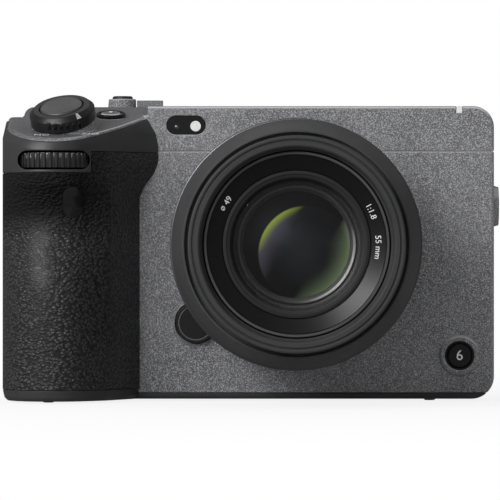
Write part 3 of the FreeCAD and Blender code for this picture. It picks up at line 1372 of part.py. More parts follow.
nodes = {
    "front_cover": front_cover,
    "top_cover": top_cover,
    "rear_cover": rear_cover,
    "bottom_cover": bottom_cover,
    "side_cover": side_cover,
    "grip_shell": grip_shell,
    "grip_leather": grip_leather,
    "grip_top_cap": grip_top_cap,
    "chassis": chassis,
    "mount_ring": mount_ring,
    "fasteners": fasteners,
    "thread_inserts": thread_inserts,
    "contact_block": contact_block,
    "shutter_unit": shutter_unit,
    "image_sensor": image_sensor,
    "sensor_stage_x": sensor_stage_x,
    "sensor_stage_z": sensor_stage_z,
    "main_board": main_board,
    "heat_sink": heat_sink,
    "fan_housing": fan_housing,
    "fan_rotor": fan_rotor,
    "battery": battery,
    "battery_door": battery_door,
    "battery_latch": battery_latch,
    "memory_cards": memory_cards,
    "card_door": card_door,
    "port_block": port_block,
    "port_cover_upper": lambda: port_cover(*upper_door),
    "port_cover_lower": lambda: port_cover(*lower_door),
    "accessory_shoe": accessory_shoe,
    "sensor_windows": sensor_windows,
    "lamps": lamps,
    "monitor_arm": monitor_arm,
    "monitor_housing": monitor_housing,
    "monitor_glass": monitor_glass,
    "power_switch_ring": power_switch_ring,
    "shutter_button": shutter_button,
    "front_dial": front_dial,
    "rear_dial": rear_dial,
    "control_wheel": control_wheel,
    "centre_button": centre_button,
    "joystick_gimbal": joystick_gimbal,
    "joystick_cap": joystick_cap,
    "top_button": top_button,
    "record_button": record_button,
    "key_button": key_button,
    "front_button": front_button,
    "lens_release_button": lens_release_button,
    "menu_button": lambda: rear_button(menu_at),
    "function_button": lambda: rear_button(function_at),
    "playback_button": lambda: rear_button(play_at),
    "focus_on_button": lambda: rear_button(focus_on_at),
    "lens_bayonet": lens_bayonet,
    "rear_barrel": rear_barrel,
    "focus_ring": focus_ring,
    "front_barrel": front_barrel,
    "name_ring": name_ring,
    "lens_elements": lens_elements,
    "focus_group": focus_group,
    "aperture_blades": aperture_blades,
}


def write_parts():
    os.makedirs("parts", exist_ok=True)
    for name, make in nodes.items():
        shape = make()
        loose = Part.makeCompound(shape.Solids)
        print(f"{name:22s} solids {len(shape.Solids)} volume {loose.Volume:10.1f} valid {loose.isValid()}")
        loose.exportStep(f"parts/{name}.step")


write_parts()
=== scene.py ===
"""Looks of a compact cinema camera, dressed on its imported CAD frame.

Metres. X runs to the right as seen from the front, the lens looks along -Y, +Z is up.
"""

import math

import bmesh
import bpy
from mathutils import Matrix, Vector
from mathutils.bvhtree import BVHTree


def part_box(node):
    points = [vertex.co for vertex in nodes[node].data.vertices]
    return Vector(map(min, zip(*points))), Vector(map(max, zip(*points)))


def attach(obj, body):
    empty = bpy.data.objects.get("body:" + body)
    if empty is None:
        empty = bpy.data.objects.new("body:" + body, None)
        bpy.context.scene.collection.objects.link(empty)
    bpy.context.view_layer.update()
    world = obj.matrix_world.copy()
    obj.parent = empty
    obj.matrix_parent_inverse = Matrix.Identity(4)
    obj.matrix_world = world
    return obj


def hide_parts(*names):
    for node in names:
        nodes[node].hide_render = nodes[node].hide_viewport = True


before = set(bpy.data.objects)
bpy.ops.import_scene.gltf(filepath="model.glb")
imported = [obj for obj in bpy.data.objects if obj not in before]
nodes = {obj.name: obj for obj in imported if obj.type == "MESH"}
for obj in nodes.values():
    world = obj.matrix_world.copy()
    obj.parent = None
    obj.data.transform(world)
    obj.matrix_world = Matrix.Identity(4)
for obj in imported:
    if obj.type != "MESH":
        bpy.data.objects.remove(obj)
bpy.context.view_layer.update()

# Inside the body: die-cast and machined aluminium, the shutter, the sensor on its two sliding
# stages, boards, cooler and fan. They come from the CAD as they are and get their metals and
# plastics here. Most of it shows only when a door is open.
def new_material(name):
    """An empty node material with its Principled shader and the object coordinates."""
    material = bpy.data.materials.new(name)
    material.use_nodes = True
    tree = material.node_tree
    shader = tree.nodes["Principled BSDF"]
    coords = tree.nodes.new("ShaderNodeTexCoord").outputs["Object"]
    return material, tree, shader, coords


def group_with(name, inputs, outputs):
    """An empty node group: inputs are (name, type, default), outputs (name, type)."""
    group = bpy.data.node_groups.new(name, "ShaderNodeTree")
    for label, kind, default in inputs:
        socket = group.interface.new_socket(label, in_out="INPUT", socket_type="NodeSocket" + kind)
        socket.default_value = default
    for label, kind in outputs:
        group.interface.new_socket(label, in_out="OUTPUT", socket_type="NodeSocket" + kind)
    return group, group.nodes.new("NodeGroupInput"), group.nodes.new("NodeGroupOutput")


def noise(tree, vector, scale, detail=3.0, roughness=0.55):
    """A noise texture of the given number of features per metre."""
    texture = tree.nodes.new("ShaderNodeTexNoise")
    texture.inputs["Scale"].default_value = scale
    texture.inputs["Detail"].default_value = detail
    texture.inputs["Roughness"].default_value = roughness
    tree.links.new(vector, texture.inputs["Vector"])
    return texture.outputs["Fac"]


def remap(tree, value, low, high, out_low, out_high):
    """Maps a value's range to another and clamps it there."""
    node = tree.nodes.new("ShaderNodeMapRange")
    for label, number in (("From Min", low), ("From Max", high),
                          ("To Min", out_low), ("To Max", out_high)):
        node.inputs[label].default_value = number
    tree.links.new(value, node.inputs["Value"])
    return node.outputs["Result"]


def mix_color(tree, factor, first, second):
    """Mixes two colours or colour outputs, which a colour mix takes at 6 and 7 and gives at 2."""
    node = tree.nodes.new("ShaderNodeMix")
    node.data_type = "RGBA"
    tree.links.new(factor, node.inputs["Factor"])
    for socket, value in ((node.inputs[6], first), (node.inputs[7], second)):
        if isinstance(value, bpy.types.NodeSocket):
            tree.links.new(value, socket)
        else:
            socket.default_value = (*value, 1.0)
    return node.outputs[2]


def product(tree, first, second):
    """Multiplies two values."""
    node = tree.nodes.new("ShaderNodeMath")
    node.operation = "MULTIPLY"
    tree.links.new(first, node.inputs[0])
    tree.links.new(second, node.inputs[1])
    return node.outputs[0]


def build_grain_group():
    """Fine surface of a moulded, cast or anodised skin: tone, sheen and relief that vary a little."""
    group, given, result = group_with(
        "skin_grain",
        [("Vector", "Vector", (0, 0, 0)), ("Grain", "Float", 3000.0),
         ("Color", "Color", (0.05, 0.05, 0.05, 1)), ("Roughness", "Float", 0.5)],
        [("Color", "Color"), ("Roughness", "Float"), ("Height", "Float")])
    fine = noise(group, given.outputs["Vector"], 3000.0, 4.0, 0.5)
    group.links.new(given.outputs["Grain"], fine.node.inputs["Scale"])
    wide = noise(group, given.outputs["Vector"], 55.0, 5.0, 0.5)
    handled = remap(group, wide, 0.35, 0.7, 0.86, 1.16)
    speck = remap(group, fine, 0.3, 0.7, 0.82, 1.18)
    tone = group.nodes.new("ShaderNodeVectorMath")
    tone.operation = "SCALE"
    group.links.new(given.outputs["Color"], tone.inputs[0])
    group.links.new(product(group, handled, speck), tone.inputs["Scale"])
    group.links.new(tone.outputs["Vector"], result.inputs["Color"])
    sheen = product(group, given.outputs["Roughness"], remap(group, wide, 0.3, 0.7, 1.1, 0.88))
    group.links.new(sheen, result.inputs["Roughness"])
    group.links.new(fine, result.inputs["Height"])
    return group


skin_grain = build_grain_group()


def bump(tree, shader, height, distance):
    """Feeds a height to the shader's normal; distance in metres."""
    node = tree.nodes.new("ShaderNodeBump")
    node.inputs["Distance"].default_value = distance
    tree.links.new(height, node.inputs["Height"])
    tree.links.new(node.outputs["Normal"], shader.inputs["Normal"])


def grained(name, color, roughness, metallic=0.0, grain=3000.0, relief=0.00002, coat=0.0):
    """A moulded, cast or anodised skin of one colour; relief is the depth of its grain in metres."""
    material, tree, shader, coords = new_material(name)
    skin = tree.nodes.new("ShaderNodeGroup")
    skin.node_tree = skin_grain
    skin.inputs["Grain"].default_value = grain
    skin.inputs["Color"].default_value = (*color, 1.0)
    skin.inputs["Roughness"].default_value = roughness
    tree.links.new(coords, skin.inputs["Vector"])
    tree.links.new(skin.outputs["Color"], shader.inputs["Base Color"])
    tree.links.new(skin.outputs["Roughness"], shader.inputs["Roughness"])
    bump(tree, shader, skin.outputs["Height"], relief)
    shader.inputs["Metallic"].default_value = metallic
    shader.inputs["Coat Weight"].default_value = coat
    shader.inputs["Coat Roughness"].default_value = 0.2
    return material


def finish(material, *names):
    """Gives CAD nodes that stay as they are their finished material."""
    for name in names:
        nodes[name].data.materials.clear()
        nodes[name].data.materials.append(material)


cast_metal = grained("cast_chassis_metal", (0.42, 0.42, 0.43), 0.45, metallic=1.0, grain=2200.0)
finish(cast_metal, "chassis", "sensor_stage_x", "sensor_stage_z")
finish(grained("black_cooler_metal", (0.09, 0.09, 0.1), 0.5, metallic=0.8), "heat_sink")
inner_plastic = grained("inner_black_plastic", (0.018, 0.018, 0.019), 0.5)
finish(inner_plastic, "fan_housing", "fan_rotor", "shutter_unit", "port_block")
finish(grained("green_board", (0.012, 0.075, 0.035), 0.35, grain=1400.0, coat=0.4), "main_board")
finish(grained("sensor_cover", (0.035, 0.05, 0.055), 0.12, coat=1.0), "image_sensor")
finish(grained("battery_shell", (0.03, 0.03, 0.032), 0.42), "battery")
finish(grained("card_shell", (0.024, 0.026, 0.034), 0.4), "memory_cards")
finish(grained("blade_black", (0.012, 0.012, 0.012), 0.55, metallic=0.3),
       "aperture_blades", "focus_group")
turned_steel = grained("turned_steel", (0.55, 0.55, 0.56), 0.28, metallic=1.0, grain=1800.0, relief=0.00001)
finish(turned_steel, "mount_ring", "joystick_gimbal")
finish(grained("dark_screw_steel", (0.12, 0.12, 0.125), 0.35, metallic=1.0), "fasteners", "thread_inserts")
finish(grained("contact_block_plastic", (0.02, 0.02, 0.02), 0.45), "contact_block")

# Covers: magnesium castings in a matte grey paint full of fine pale flecks. They meet at hairline
# joints. The front and the top have their edges broken by a small radius; the rear and the side
# wall keep the form of their CAD nodes.
def split(tree, vector):
    """The X, Y and Z of a vector."""
    node = tree.nodes.new("ShaderNodeSeparateXYZ")
    tree.links.new(vector, node.inputs["Vector"])
    return node.outputs


def build_fleck_group():
    """Grey paint with pale and dark flecks a quarter of a millimetre across."""
    group, given, result = group_with(
        "fleck_paint",
        [("Vector", "Vector", (0, 0, 0)), ("Ground", "Color", (0.085, 0.086, 0.092, 1)),
         ("Pale", "Color", (0.55, 0.55, 0.57, 1))],
        [("Color", "Color"), ("Roughness", "Float"), ("Height", "Float")])
    fleck = noise(group, given.outputs["Vector"], 4500.0, 2.0, 0.6)
    cloud = noise(group, given.outputs["Vector"], 40.0, 4.0)
    ground = mix_color(group, remap(group, cloud, 0.35, 0.65, 0.0, 0.12), given.outputs["Ground"],
                       given.outputs["Pale"])
    pale = remap(group, fleck, 0.47, 0.7, 0.0, 1.0)
    group.links.new(mix_color(group, pale, ground, given.outputs["Pale"]), result.inputs["Color"])
    group.links.new(remap(group, fleck, 0.3, 0.7, 0.62, 0.42), result.inputs["Roughness"])
    group.links.new(fleck, result.inputs["Height"])
    return group


paint, tree, shader, coords = new_material("grey_fleck_paint")
flecks = tree.nodes.new("ShaderNodeGroup")
flecks.node_tree = build_fleck_group()
tree.links.new(coords, flecks.inputs["Vector"])
normal = split(tree, tree.nodes.new("ShaderNodeNewGeometry").outputs["Normal"])
place = split(tree, coords)
# Painted shade and highlights: faces that look up are darkened in the colour, and a pale painted
# highlight runs in a line along the top cover's joint and on the front edge of the top.
TOP_SHADE_COLOR = (0.03, 0.03, 0.032)
JOINT_HIGHLIGHT = (0.7, 0.7, 0.72)
EDGE_HIGHLIGHT = (0.8, 0.8, 0.82)
JOINT_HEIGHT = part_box("front_cover")[1][2]
GRIP_EDGE = (-0.062, -0.05)
top_shade = remap(tree, normal["Z"], 0.25, 0.8, 0.0, 0.55)
color = mix_color(tree, top_shade, flecks.outputs["Color"], TOP_SHADE_COLOR)
# Painted highlight: a pale line along the top cover's joint.
joint = product(tree, remap(tree, place["Z"], JOINT_HEIGHT - 0.00028, JOINT_HEIGHT - 0.00018, 0.0, 0.2),
                remap(tree, place["Z"], JOINT_HEIGHT + 0.0003, JOINT_HEIGHT + 0.00031, 1.0, 0.0))
color = mix_color(tree, joint, color, JOINT_HIGHLIGHT)
# Painted highlight: the front edge of the top, where it faces up and forward, is painted pale.
front_edge = product(tree, remap(tree, normal["Z"], 0.3, 0.5, 0.0, 0.45),
                     remap(tree, normal["Y"], -0.25, -0.45, 0.0, 1.0))
front_edge = product(tree, front_edge, remap(tree, place["X"], *GRIP_EDGE, 0.0, 1.0))
color = mix_color(tree, front_edge, color, EDGE_HIGHLIGHT)
tree.links.new(color, shader.inputs["Base Color"])
tree.links.new(flecks.outputs["Roughness"], shader.inputs["Roughness"])
bump(tree, shader, flecks.outputs["Height"], 0.00004)


WELD = 0.000002
FLAT_ANGLE = math.radians(0.02)


def softened(node, material, body, width=0.00018, segments=2, leave=None):
    """Stands in for a CAD node: the same form with its sharp edges broken by a small radius."""
    bm = bmesh.new()
    bm.from_mesh(nodes[node].data)
    bmesh.ops.remove_doubles(bm, verts=bm.verts, dist=WELD)
    bmesh.ops.dissolve_limit(bm, angle_limit=FLAT_ANGLE, verts=bm.verts, edges=bm.edges)
    return add_piece(node + "_skin", bm, material, body, (node,), width, segments, leave=leave)


# How far from the old surface a rounded corner may lie, as a share of the radius.
CORNER_REACH = 0.45


def break_edges(bm, width, segments, angle, leave):
    """Rounds the sharp edges; a corner that this throws off the old surface is put back on it.

    Edges with their middle in the box from leave[0] to leave[1], in millimetres, stay sharp.
    """
    before = BVHTree.FromBMesh(bm)
    sharp = [edge for edge in bm.edges
             if len(edge.link_faces) == 2 and edge.calc_face_angle(0.0) > math.radians(angle)]
    if leave:
        low, high = leave
        middles = [500.0 * (edge.verts[0].co + edge.verts[1].co) for edge in sharp]
        sharp = [edge for edge, middle in zip(sharp, middles)
                 if not all(low[k] < middle[k] < high[k] for k in range(3))]
    bmesh.ops.bevel(bm, geom=sharp, offset=width, offset_type="OFFSET", segments=segments, profile=0.5,
                    affect="EDGES", clamp_overlap=False, material=-1)
    for vert in bm.verts:
        place, _, _, distance = before.find_nearest(vert.co)
        if distance > CORNER_REACH * width:
            vert.co = place


BEVEL_CREASE = math.radians(52.0)


def add_piece(name, bm, material, body, stands_for=(), width=0.0, segments=2, angle=28.0,
              leave=None):
    """Turns a bmesh into a piece that rides on a body, smooth but for edges sharper than the angle.

    With a width its sharp edges are broken, and shading is sharp only past the bevels' own steps.
    """
    if width:
        break_edges(bm, width, segments, angle, leave)
    crease = BEVEL_CREASE if width else math.radians(angle)
    for face in bm.faces:
        face.smooth = True
    for edge in bm.edges:
        edge.smooth = not (len(edge.link_faces) == 2 and edge.calc_face_angle(0.0) > crease)
    mesh = bpy.data.meshes.new(name)
    bm.to_mesh(mesh)
    bm.free()
    mesh.materials.append(material)
    piece = bpy.data.objects.new(name, mesh)
    bpy.context.scene.collection.objects.link(piece)
    if width:
        flat = piece.modifiers.new("flat_faces", "WEIGHTED_NORMAL")
        flat.keep_sharp = True
    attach(piece, body)
    if stands_for:
        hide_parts(*stands_for)
    return piece


softened("front_cover", paint, "body", width=0.00028)
# The thin step at the rear of the grip deck is too narrow for the radius and stays sharp.
DECK_STEP = ((-80.0, -2.9, 70.0), (-60.0, -0.7, 79.0))
softened("top_cover", paint, "body", width=0.00028, leave=DECK_STEP)
finish(paint, "rear_cover", "side_cover")

# Black base plate, grip core, cap, doors and monitor housing: glass-filled plastic with a fine
# spark-eroded grain. The rubber port flaps, the monitor's and the windows' black glass, the lamps
# and the painted steel shoe keep the form of their CAD nodes.
black_plastic = grained("black_grained_plastic", (0.037, 0.037, 0.038), 0.42, grain=4200.0)
for name, body in (("bottom_cover", "body"), ("grip_shell", "body"), ("grip_top_cap", "body"),
                   ("battery_door", "battery_door"), ("battery_latch", "battery_latch"),
                   ("card_door", "card_door"), ("monitor_housing", "monitor"), ("monitor_arm", "monitor")):
    softened(name, black_plastic, body)
finish(grained("black_flap_rubber", (0.02, 0.02, 0.02), 0.62), "port_cover_upper", "port_cover_lower")
finish(grained("black_glass", (0.006, 0.006, 0.007), 0.08, coat=1.0), "monitor_glass", "sensor_windows")
finish(grained("white_lens_plastic", (0.75, 0.75, 0.73), 0.3, coat=0.5), "lamps")
finish(grained("painted_steel", (0.03, 0.03, 0.03), 0.35, metallic=0.6), "accessory_shoe")


# Grip cover: a sheet of soft rubber glued round the grip, moulded with a wrinkled pebble grain like
# leather's, about a millimetre wide. Its upper part, under the cap, is duller than the part that the
# hand rubs, and its colour is darkened there as painted shade of the finger hollow.
leather, tree, shader, coords = new_material("grip_leather")
drift = tree.nodes.new("ShaderNodeTexNoise")
drift.inputs["Scale"].default_value = 600.0
tree.links.new(coords, drift.inputs["Vector"])
warp = tree.nodes.new("ShaderNodeVectorMath")
warp.operation = "MULTIPLY_ADD"
warp.inputs[1].default_value = (0.0009, 0.0009, 0.0009)
tree.links.new(drift.outputs["Color"], warp.inputs[0])
tree.links.new(coords, warp.inputs[2])
stretch = tree.nodes.new("ShaderNodeMapping")
stretch.inputs["Rotation"].default_value = (0.0, math.radians(24), 0.0)
stretch.inputs["Scale"].default_value = (0.75, 0.9, 1.25)
tree.links.new(warp.outputs["Vector"], stretch.inputs["Vector"])
cells = tree.nodes.new("ShaderNodeTexVoronoi")
cells.feature = "SMOOTH_F1"
cells.inputs["Scale"].default_value = 1150.0
cells.inputs["Smoothness"].default_value = 0.15
tree.links.new(stretch.outputs["Vector"], cells.inputs["Vector"])
pebble = remap(tree, cells.outputs["Distance"], 0.0, 0.7, 1.0, 0.0)
place = split(tree, coords)
# The finger hollow under the cap: painted shade in the colour, and duller in roughness and coat.
hollow_shade_and_dull = product(tree, remap(tree, place["Z"], 0.042, 0.049, 0.0, 1.0),
                 remap(tree, place["X"], -0.056, -0.046, 1.0, 0.25))
# Pebble grain whose tops are painted lighter as painted glints.
pebble_tone_and_glints = mix_color(tree, pebble, (0.013, 0.013, 0.0135), (0.062, 0.062, 0.063))
tree.links.new(mix_color(tree, hollow_shade_and_dull, pebble_tone_and_glints, (0.0015, 0.0015, 0.0016)), shader.inputs["Base Color"])
dull = tree.nodes.new("ShaderNodeMath")
dull.operation = "MAXIMUM"
tree.links.new(remap(tree, pebble, 0.2, 1.0, 0.5, 0.27), dull.inputs[0])
tree.links.new(remap(tree, hollow_shade_and_dull, 0.0, 1.0, 0.3, 0.85), dull.inputs[1])
tree.links.new(dull.outputs[0], shader.inputs["Roughness"])
bump(tree, shader, pebble, 0.0005)
tree.links.new(remap(tree, hollow_shade_and_dull, 0.0, 1.0, 0.18, 0.0), shader.inputs["Coat Weight"])
shader.inputs["Coat Roughness"].default_value = 0.3
softened("grip_leather", leather, "body", width=0.00008)

# Power switch: a black ring lever round the shutter button, ribbed where the finger pushes it, with
# a white index and the marks ON and OFF printed on the deck. The button is a satin metal disc.
KNOB_BASE = Vector((-0.0606, -0.0303, 0.073455))
KNOB_AXIS = Vector((-0.1391, -0.4144, 0.8994)).normalized()
# Where the ribs end above the ring's foot, and the ring's radius between them.
RIB_FOOT = 0.0014
BARE_RADIUS = 0.00862
control_black = grained("control_black", (0.012, 0.012, 0.013), 0.34, grain=4600.0)
print_white = grained("print_white", (0.72, 0.72, 0.7), 0.5, grain=2600.0)
switch = softened("power_switch_ring", control_black, "power_switch_ring",
                  width=0.0001)
for vert in switch.data.vertices:
    # The ribs run out in a slope above the ring's foot and so clear the deck when it is turned.
    rise = (vert.co - KNOB_BASE).dot(KNOB_AXIS)
    out = (vert.co - KNOB_BASE - rise * KNOB_AXIS).length
    if rise < RIB_FOOT and out > BARE_RADIUS:
        inward = -0.7 * (out - BARE_RADIUS) * (vert.co - KNOB_BASE).normalized()
        vert.co += (RIB_FOOT - rise) * KNOB_AXIS + inward
shutter_metal = grained("shutter_metal", (0.1, 0.1, 0.104), 0.38, metallic=0.5)
softened("shutter_button", shutter_metal, "shutter_button", width=0.00015, segments=3)


def standing(base, up):
    """Matrix of a place whose Z runs along an axis and whose Y leans to the front."""
    side = Vector((0, -1, 0)).cross(up).normalized()
    ahead = up.cross(side)
    turn = Matrix((side, ahead, up)).transposed().to_4x4()
    return Matrix.Translation(base) @ turn


def turned(outline, place, steps=64):
    """A closed bmesh spun about a place's Z from (height, radius) points in millimetres."""
    bm = bmesh.new()
    loop = [bm.verts.new((radius * 0.001, 0.0, height * 0.001)) for height, radius in outline]
    sides = [bm.edges.new((loop[k - 1], loop[k])) for k in range(len(loop))]
    bmesh.ops.spin(bm, geom=loop + sides, cent=(0, 0, 0), axis=(0, 0, 1), dvec=(0, 0, 0),
                   angle=2 * math.pi, steps=steps, use_merge=True)
    bmesh.ops.remove_doubles(bm, verts=bm.verts, dist=0.0000005)
    bmesh.ops.transform(bm, matrix=place, verts=bm.verts)
    bmesh.ops.recalc_face_normals(bm, faces=bm.faces)
    return bm


def printed(words, size, place):
    """Flat raised lettering in the XY plane of a place; the size is in millimetres."""
    curve = bpy.data.curves.new("lettering", "FONT")
    curve.body = words
    curve.size = size * 0.001
    curve.align_x = "CENTER"
    curve.align_y = "CENTER"
    curve.extrude = 0.00001
    curve.resolution_u = 4
    holder = bpy.data.objects.new("lettering", curve)
    mesh = bpy.data.meshes.new_from_object(holder)
    bpy.data.objects.remove(holder)
    bm = bmesh.new()
    bm.from_mesh(mesh)
    bpy.data.meshes.remove(mesh)
    bmesh.ops.remove_doubles(bm, verts=bm.verts, dist=0.0000005)
    bmesh.ops.transform(bm, matrix=place, verts=bm.verts)
    bmesh.ops.recalc_face_normals(bm, faces=bm.faces)
    return bm


# The index: a wedge printed on the slope of the ring's rim, given by rows of radius, half width and
# height in millimetres.
INDEX_ANGLE = math.radians(-31.0)
INDEX_ROWS = ((7.42, 0.30, 4.03), (7.75, 0.42, 3.70), (8.15, 0.55, 3.30), (8.56, 0.68, 2.89))
knob = standing(KNOB_BASE, KNOB_AXIS)
index = bmesh.new()
rows = []
for radius, half_width, height in INDEX_ROWS:
    angles = [INDEX_ANGLE + k * half_width / radius for k in (-1, 0, 1)]
    points = [Vector((radius * math.sin(turn), radius * math.cos(turn), height)) for turn in angles]
    rows.append([index.verts.new(knob @ (point * 0.001)) for point in points])
for low, high in zip(rows, rows[1:]):
    for k in range(2):
        index.faces.new((low[k], low[k + 1], high[k + 1], high[k]))
bmesh.ops.solidify(index, geom=index.faces[:], thickness=0.00003)
bmesh.ops.recalc_face_normals(index, faces=index.faces)
add_piece("switch_index", index, print_white, "power_switch_ring", angle=50.0)


# The deck falls to the front from its rear edge.
DECK_NORMAL = Vector((0.0, -0.2198, 0.9755)).normalized()
DECK_REAR = -1.7
DECK_TOP = 77.9
DECK_FALL = 0.22536


def deck_point(x, y):
    """The point of the sloped deck at x and y, all in millimetres."""
    return Vector((x, y, DECK_TOP - (DECK_REAR - y) * DECK_FALL))


def deck_place(x, y):
    """A place just above the deck for a printed word."""
    return standing(0.001 * deck_point(x, y) + 0.00002 * DECK_NORMAL, DECK_NORMAL)


add_piece("mark_on", printed("ON", 2.6, deck_place(-66.0, -38.9)), print_white, "body")
add_piece("mark_off", printed("OFF", 2.6, deck_place(-53.4, -37.6)), print_white, "body")

# Dials and the control wheel: moulded black rings with deep ribs and a gloss from the mould. The
# dials stand in slots, and the wheel lies flat round its centre button.
dial_black = grained("dial_black", (0.022, 0.022, 0.023), 0.16, grain=4600.0, coat=1.0)
for name in ("front_dial", "rear_dial", "control_wheel"):
    softened(name, dial_black, name, width=0.0002, segments=3)

# Push buttons: moulded black caps in their collars, pressed down on springs inside. The low key and
# the cap on the deck are painted like the body, and a red dot marks the record button.
for name in ("centre_button", "joystick_cap", "front_button", "lens_release_button",
             "menu_button", "function_button", "playback_button", "focus_on_button"):
    softened(name, control_black, name, width=0.00014, segments=3)
for name in ("top_button", "key_button"):
    softened(name, paint, name, width=0.00014, segments=3)
collar_black = grained("collar_black", (0.008, 0.008, 0.009), 0.12, grain=900.0, relief=0.0)
top_button_place = standing(0.001 * deck_point(-48.6, -15.0), DECK_NORMAL)
top_collar = turned([(-0.1, 3.12), (0.82, 3.12), (0.95, 3.3), (0.95, 3.7), (0.7, 3.95), (-0.1, 3.95)],
                    top_button_place)
add_piece("top_button_collar", top_collar, collar_black, "body", width=0.00004)
top_dot = turned([(1.18, 0.001), (1.26, 0.001), (1.26, 0.5), (1.18, 0.56)], top_button_place, 24)
add_piece("top_button_mark", top_dot, print_white, "top_button")
to_rear = Matrix(((-1, 0, 0), (0, 0, 1), (0, 1, 0))).to_4x4()
for words, size, x, z in (("MENU", 1.9, -40.1, 63.0), ("ON", 1.7, -52.0, 62.6),
                          ("FN", 1.8, -66.0, 51.9), ("DISP", 1.8, -54.5, 39.2)):
    on_wall = Matrix.Translation((x * 0.001, 0.02701, z * 0.001))
    add_piece("rear_mark_" + words.lower(), printed(words, size, on_wall @ to_rear), print_white, "body")


def from_axis(tree, coords, centre, kept=(1, 0, 1)):
    """Distance of a point from a line through a centre, and the flat vector that leads to it."""
    offset = tree.nodes.new("ShaderNodeVectorMath")
    offset.operation = "SUBTRACT"
    offset.inputs[1].default_value = centre
    tree.links.new(coords, offset.inputs[0])
    flat = tree.nodes.new("ShaderNodeVectorMath")
    flat.operation = "MULTIPLY"
    flat.inputs[1].default_value = kept
    tree.links.new(offset.outputs["Vector"], flat.inputs[0])
    reach = tree.nodes.new("ShaderNodeVectorMath")
    reach.operation = "LENGTH"
    tree.links.new(flat.outputs["Vector"], reach.inputs[0])
    return reach.outputs["Value"], flat.outputs["Vector"]


record_black = grained("record_black", (0.02, 0.02, 0.021), 0.4, grain=3600.0)
tree = record_black.node_tree
coords = tree.nodes["Texture Coordinate"].outputs["Object"]
base_color = tree.nodes["Principled BSDF"].inputs["Base Color"]
reach, _ = from_axis(tree, coords, (-0.0462, 0.015, 0), (1, 1, 0))
red_dot = remap(tree, reach, 0.0006, 0.0007, 1.0, 0.0)
tree.links.new(mix_color(tree, red_dot, base_color.links[0].from_socket, (0.5, 0.02, 0.015)), base_color)
softened("record_button", record_black, "record_button", width=0.00014, segments=3)
to_front = Matrix(((1, 0, 0), (0, 0, -1), (0, 1, 0))).to_4x4()
front_button_place = Matrix.Translation((0.0438, -0.01405, 0.0115)) @ to_front
digit = printed("6", 3.9, Matrix.Translation((0, -0.00002, 0)) @ front_button_place)
add_piece("front_button_digit", digit, print_white, "front_button")
front_collar = turned([(-0.9, 3.28), (-0.35, 3.28), (-0.2, 3.4), (-0.2, 3.75), (-0.35, 3.86), (-0.9, 3.86)],
                      front_button_place)
add_piece("front_button_ring", front_collar, collar_black, "body", width=0.00004)

# Collar of the lens release: a thin lip cast on the front cover and painted with it, two thirds
# round because the lens mount takes the rest. The cap's raised edge is a light grey ring, a painted
# highlight.
LIP_OUTLINE = ((0.02, 5.62), (0.42, 5.62), (0.55, 5.72), (0.55, 5.86), (0.42, 5.98), (0.02, 5.98))
release_place = Matrix.Translation((-0.026096, -0.013, 0.020216)) @ to_front
lip = bmesh.new()
loop = [lip.verts.new((radius * 0.001, 0.0, height * 0.001)) for height, radius in LIP_OUTLINE]
sides = [lip.edges.new((loop[k - 1], loop[k])) for k in range(len(loop))]
bmesh.ops.spin(lip, geom=loop + sides, cent=(0, 0, 0), axis=(0, 0, 1), dvec=(0, 0, 0),
               angle=math.radians(232), steps=44)
bmesh.ops.holes_fill(lip, edges=[edge for edge in lip.edges if edge.is_boundary])
bmesh.ops.transform(lip, matrix=release_place @ Matrix.Rotation(math.radians(102.4), 4, "Z"),
                    verts=lip.verts)
bmesh.ops.recalc_face_normals(lip, faces=lip.faces)
add_piece("release_collar", lip, paint, "body", width=0.00004)
# Painted highlight: the cap's edge ring is coloured light grey.
cap_edge_highlight = grained("cap_edge_highlight", (0.15, 0.15, 0.155), 0.35, grain=2600.0)
cap_edge = turned([(1.95, 4.35), (2.08, 4.45), (2.08, 4.6), (1.95, 4.7)], release_place)
add_piece("release_cap_edge", cap_edge, cap_edge_highlight, "lens_release_button")

# Light sensor beside the focus lamp: a small moulded dome of dark glossy plastic, set in the black
# window from behind.
sensor_dome = grained("sensor_dome", (0.05, 0.05, 0.055), 0.12, grain=900.0, coat=1.0)
dome = turned([(0.0, 0.001), (0.34, 0.001), (0.3, 0.3), (0.2, 0.5), (0.02, 0.62), (0.0, 0.62)],
              Matrix.Translation((-0.03115, -0.0129, 0.07215)) @ to_front, 32)
add_piece("light_sensor", dome, sensor_dome, "body")
# Lens barrel: turned aluminium, black anodised, of a fixed rear barrel, a ribbed focus ring and a
# stepped front with the filter thread. Each is spun from its section; sizes are in millimetres,
# y along the axis and then the radius.
LENS_AXIS = Vector((0, 0, 0.0409))
anodised = grained("black_anodised", (0.043, 0.043, 0.0445), 0.6, grain=5200.0, relief=0.00001)


def darker_inside(material, steps):
    """Darkens a finish towards black within each given radius from the lens axis."""
    tree = material.node_tree
    shader = tree.nodes["Principled BSDF"]
    color = shader.inputs["Base Color"].links[0].from_socket
    coords = tree.nodes["Texture Coordinate"].outputs["Object"]
    reach, _ = from_axis(tree, coords, LENS_AXIS)
    for radius, blend in steps:
        color = mix_color(tree, remap(tree, reach, radius - 0.0001, radius + 0.0001, blend, 0.0), color,
                          (0.002, 0.002, 0.002))
    tree.links.new(color, shader.inputs["Base Color"])


darker_inside(anodised, ((0.0272, 0.35), (0.0246, 0.3), (0.0188, 0.6)))


def lathed(outline, steps=180):
    """A closed bmesh spun about the lens axis from (y, radius) points in millimetres."""
    bm = bmesh.new()
    loop = [bm.verts.new(LENS_AXIS + Vector((0.0, y, radius)) * 0.001) for y, radius in outline]
    sides = [bm.edges.new((loop[k - 1], loop[k])) for k in range(len(loop))]
    bmesh.ops.spin(bm, geom=loop + sides, cent=LENS_AXIS, axis=(0, 1, 0), dvec=(0, 0, 0),
                   angle=2 * math.pi, steps=steps, use_merge=True)
    bmesh.ops.remove_doubles(bm, verts=bm.verts, dist=0.0000005)
    bmesh.ops.recalc_face_normals(bm, faces=bm.faces)
    return bm


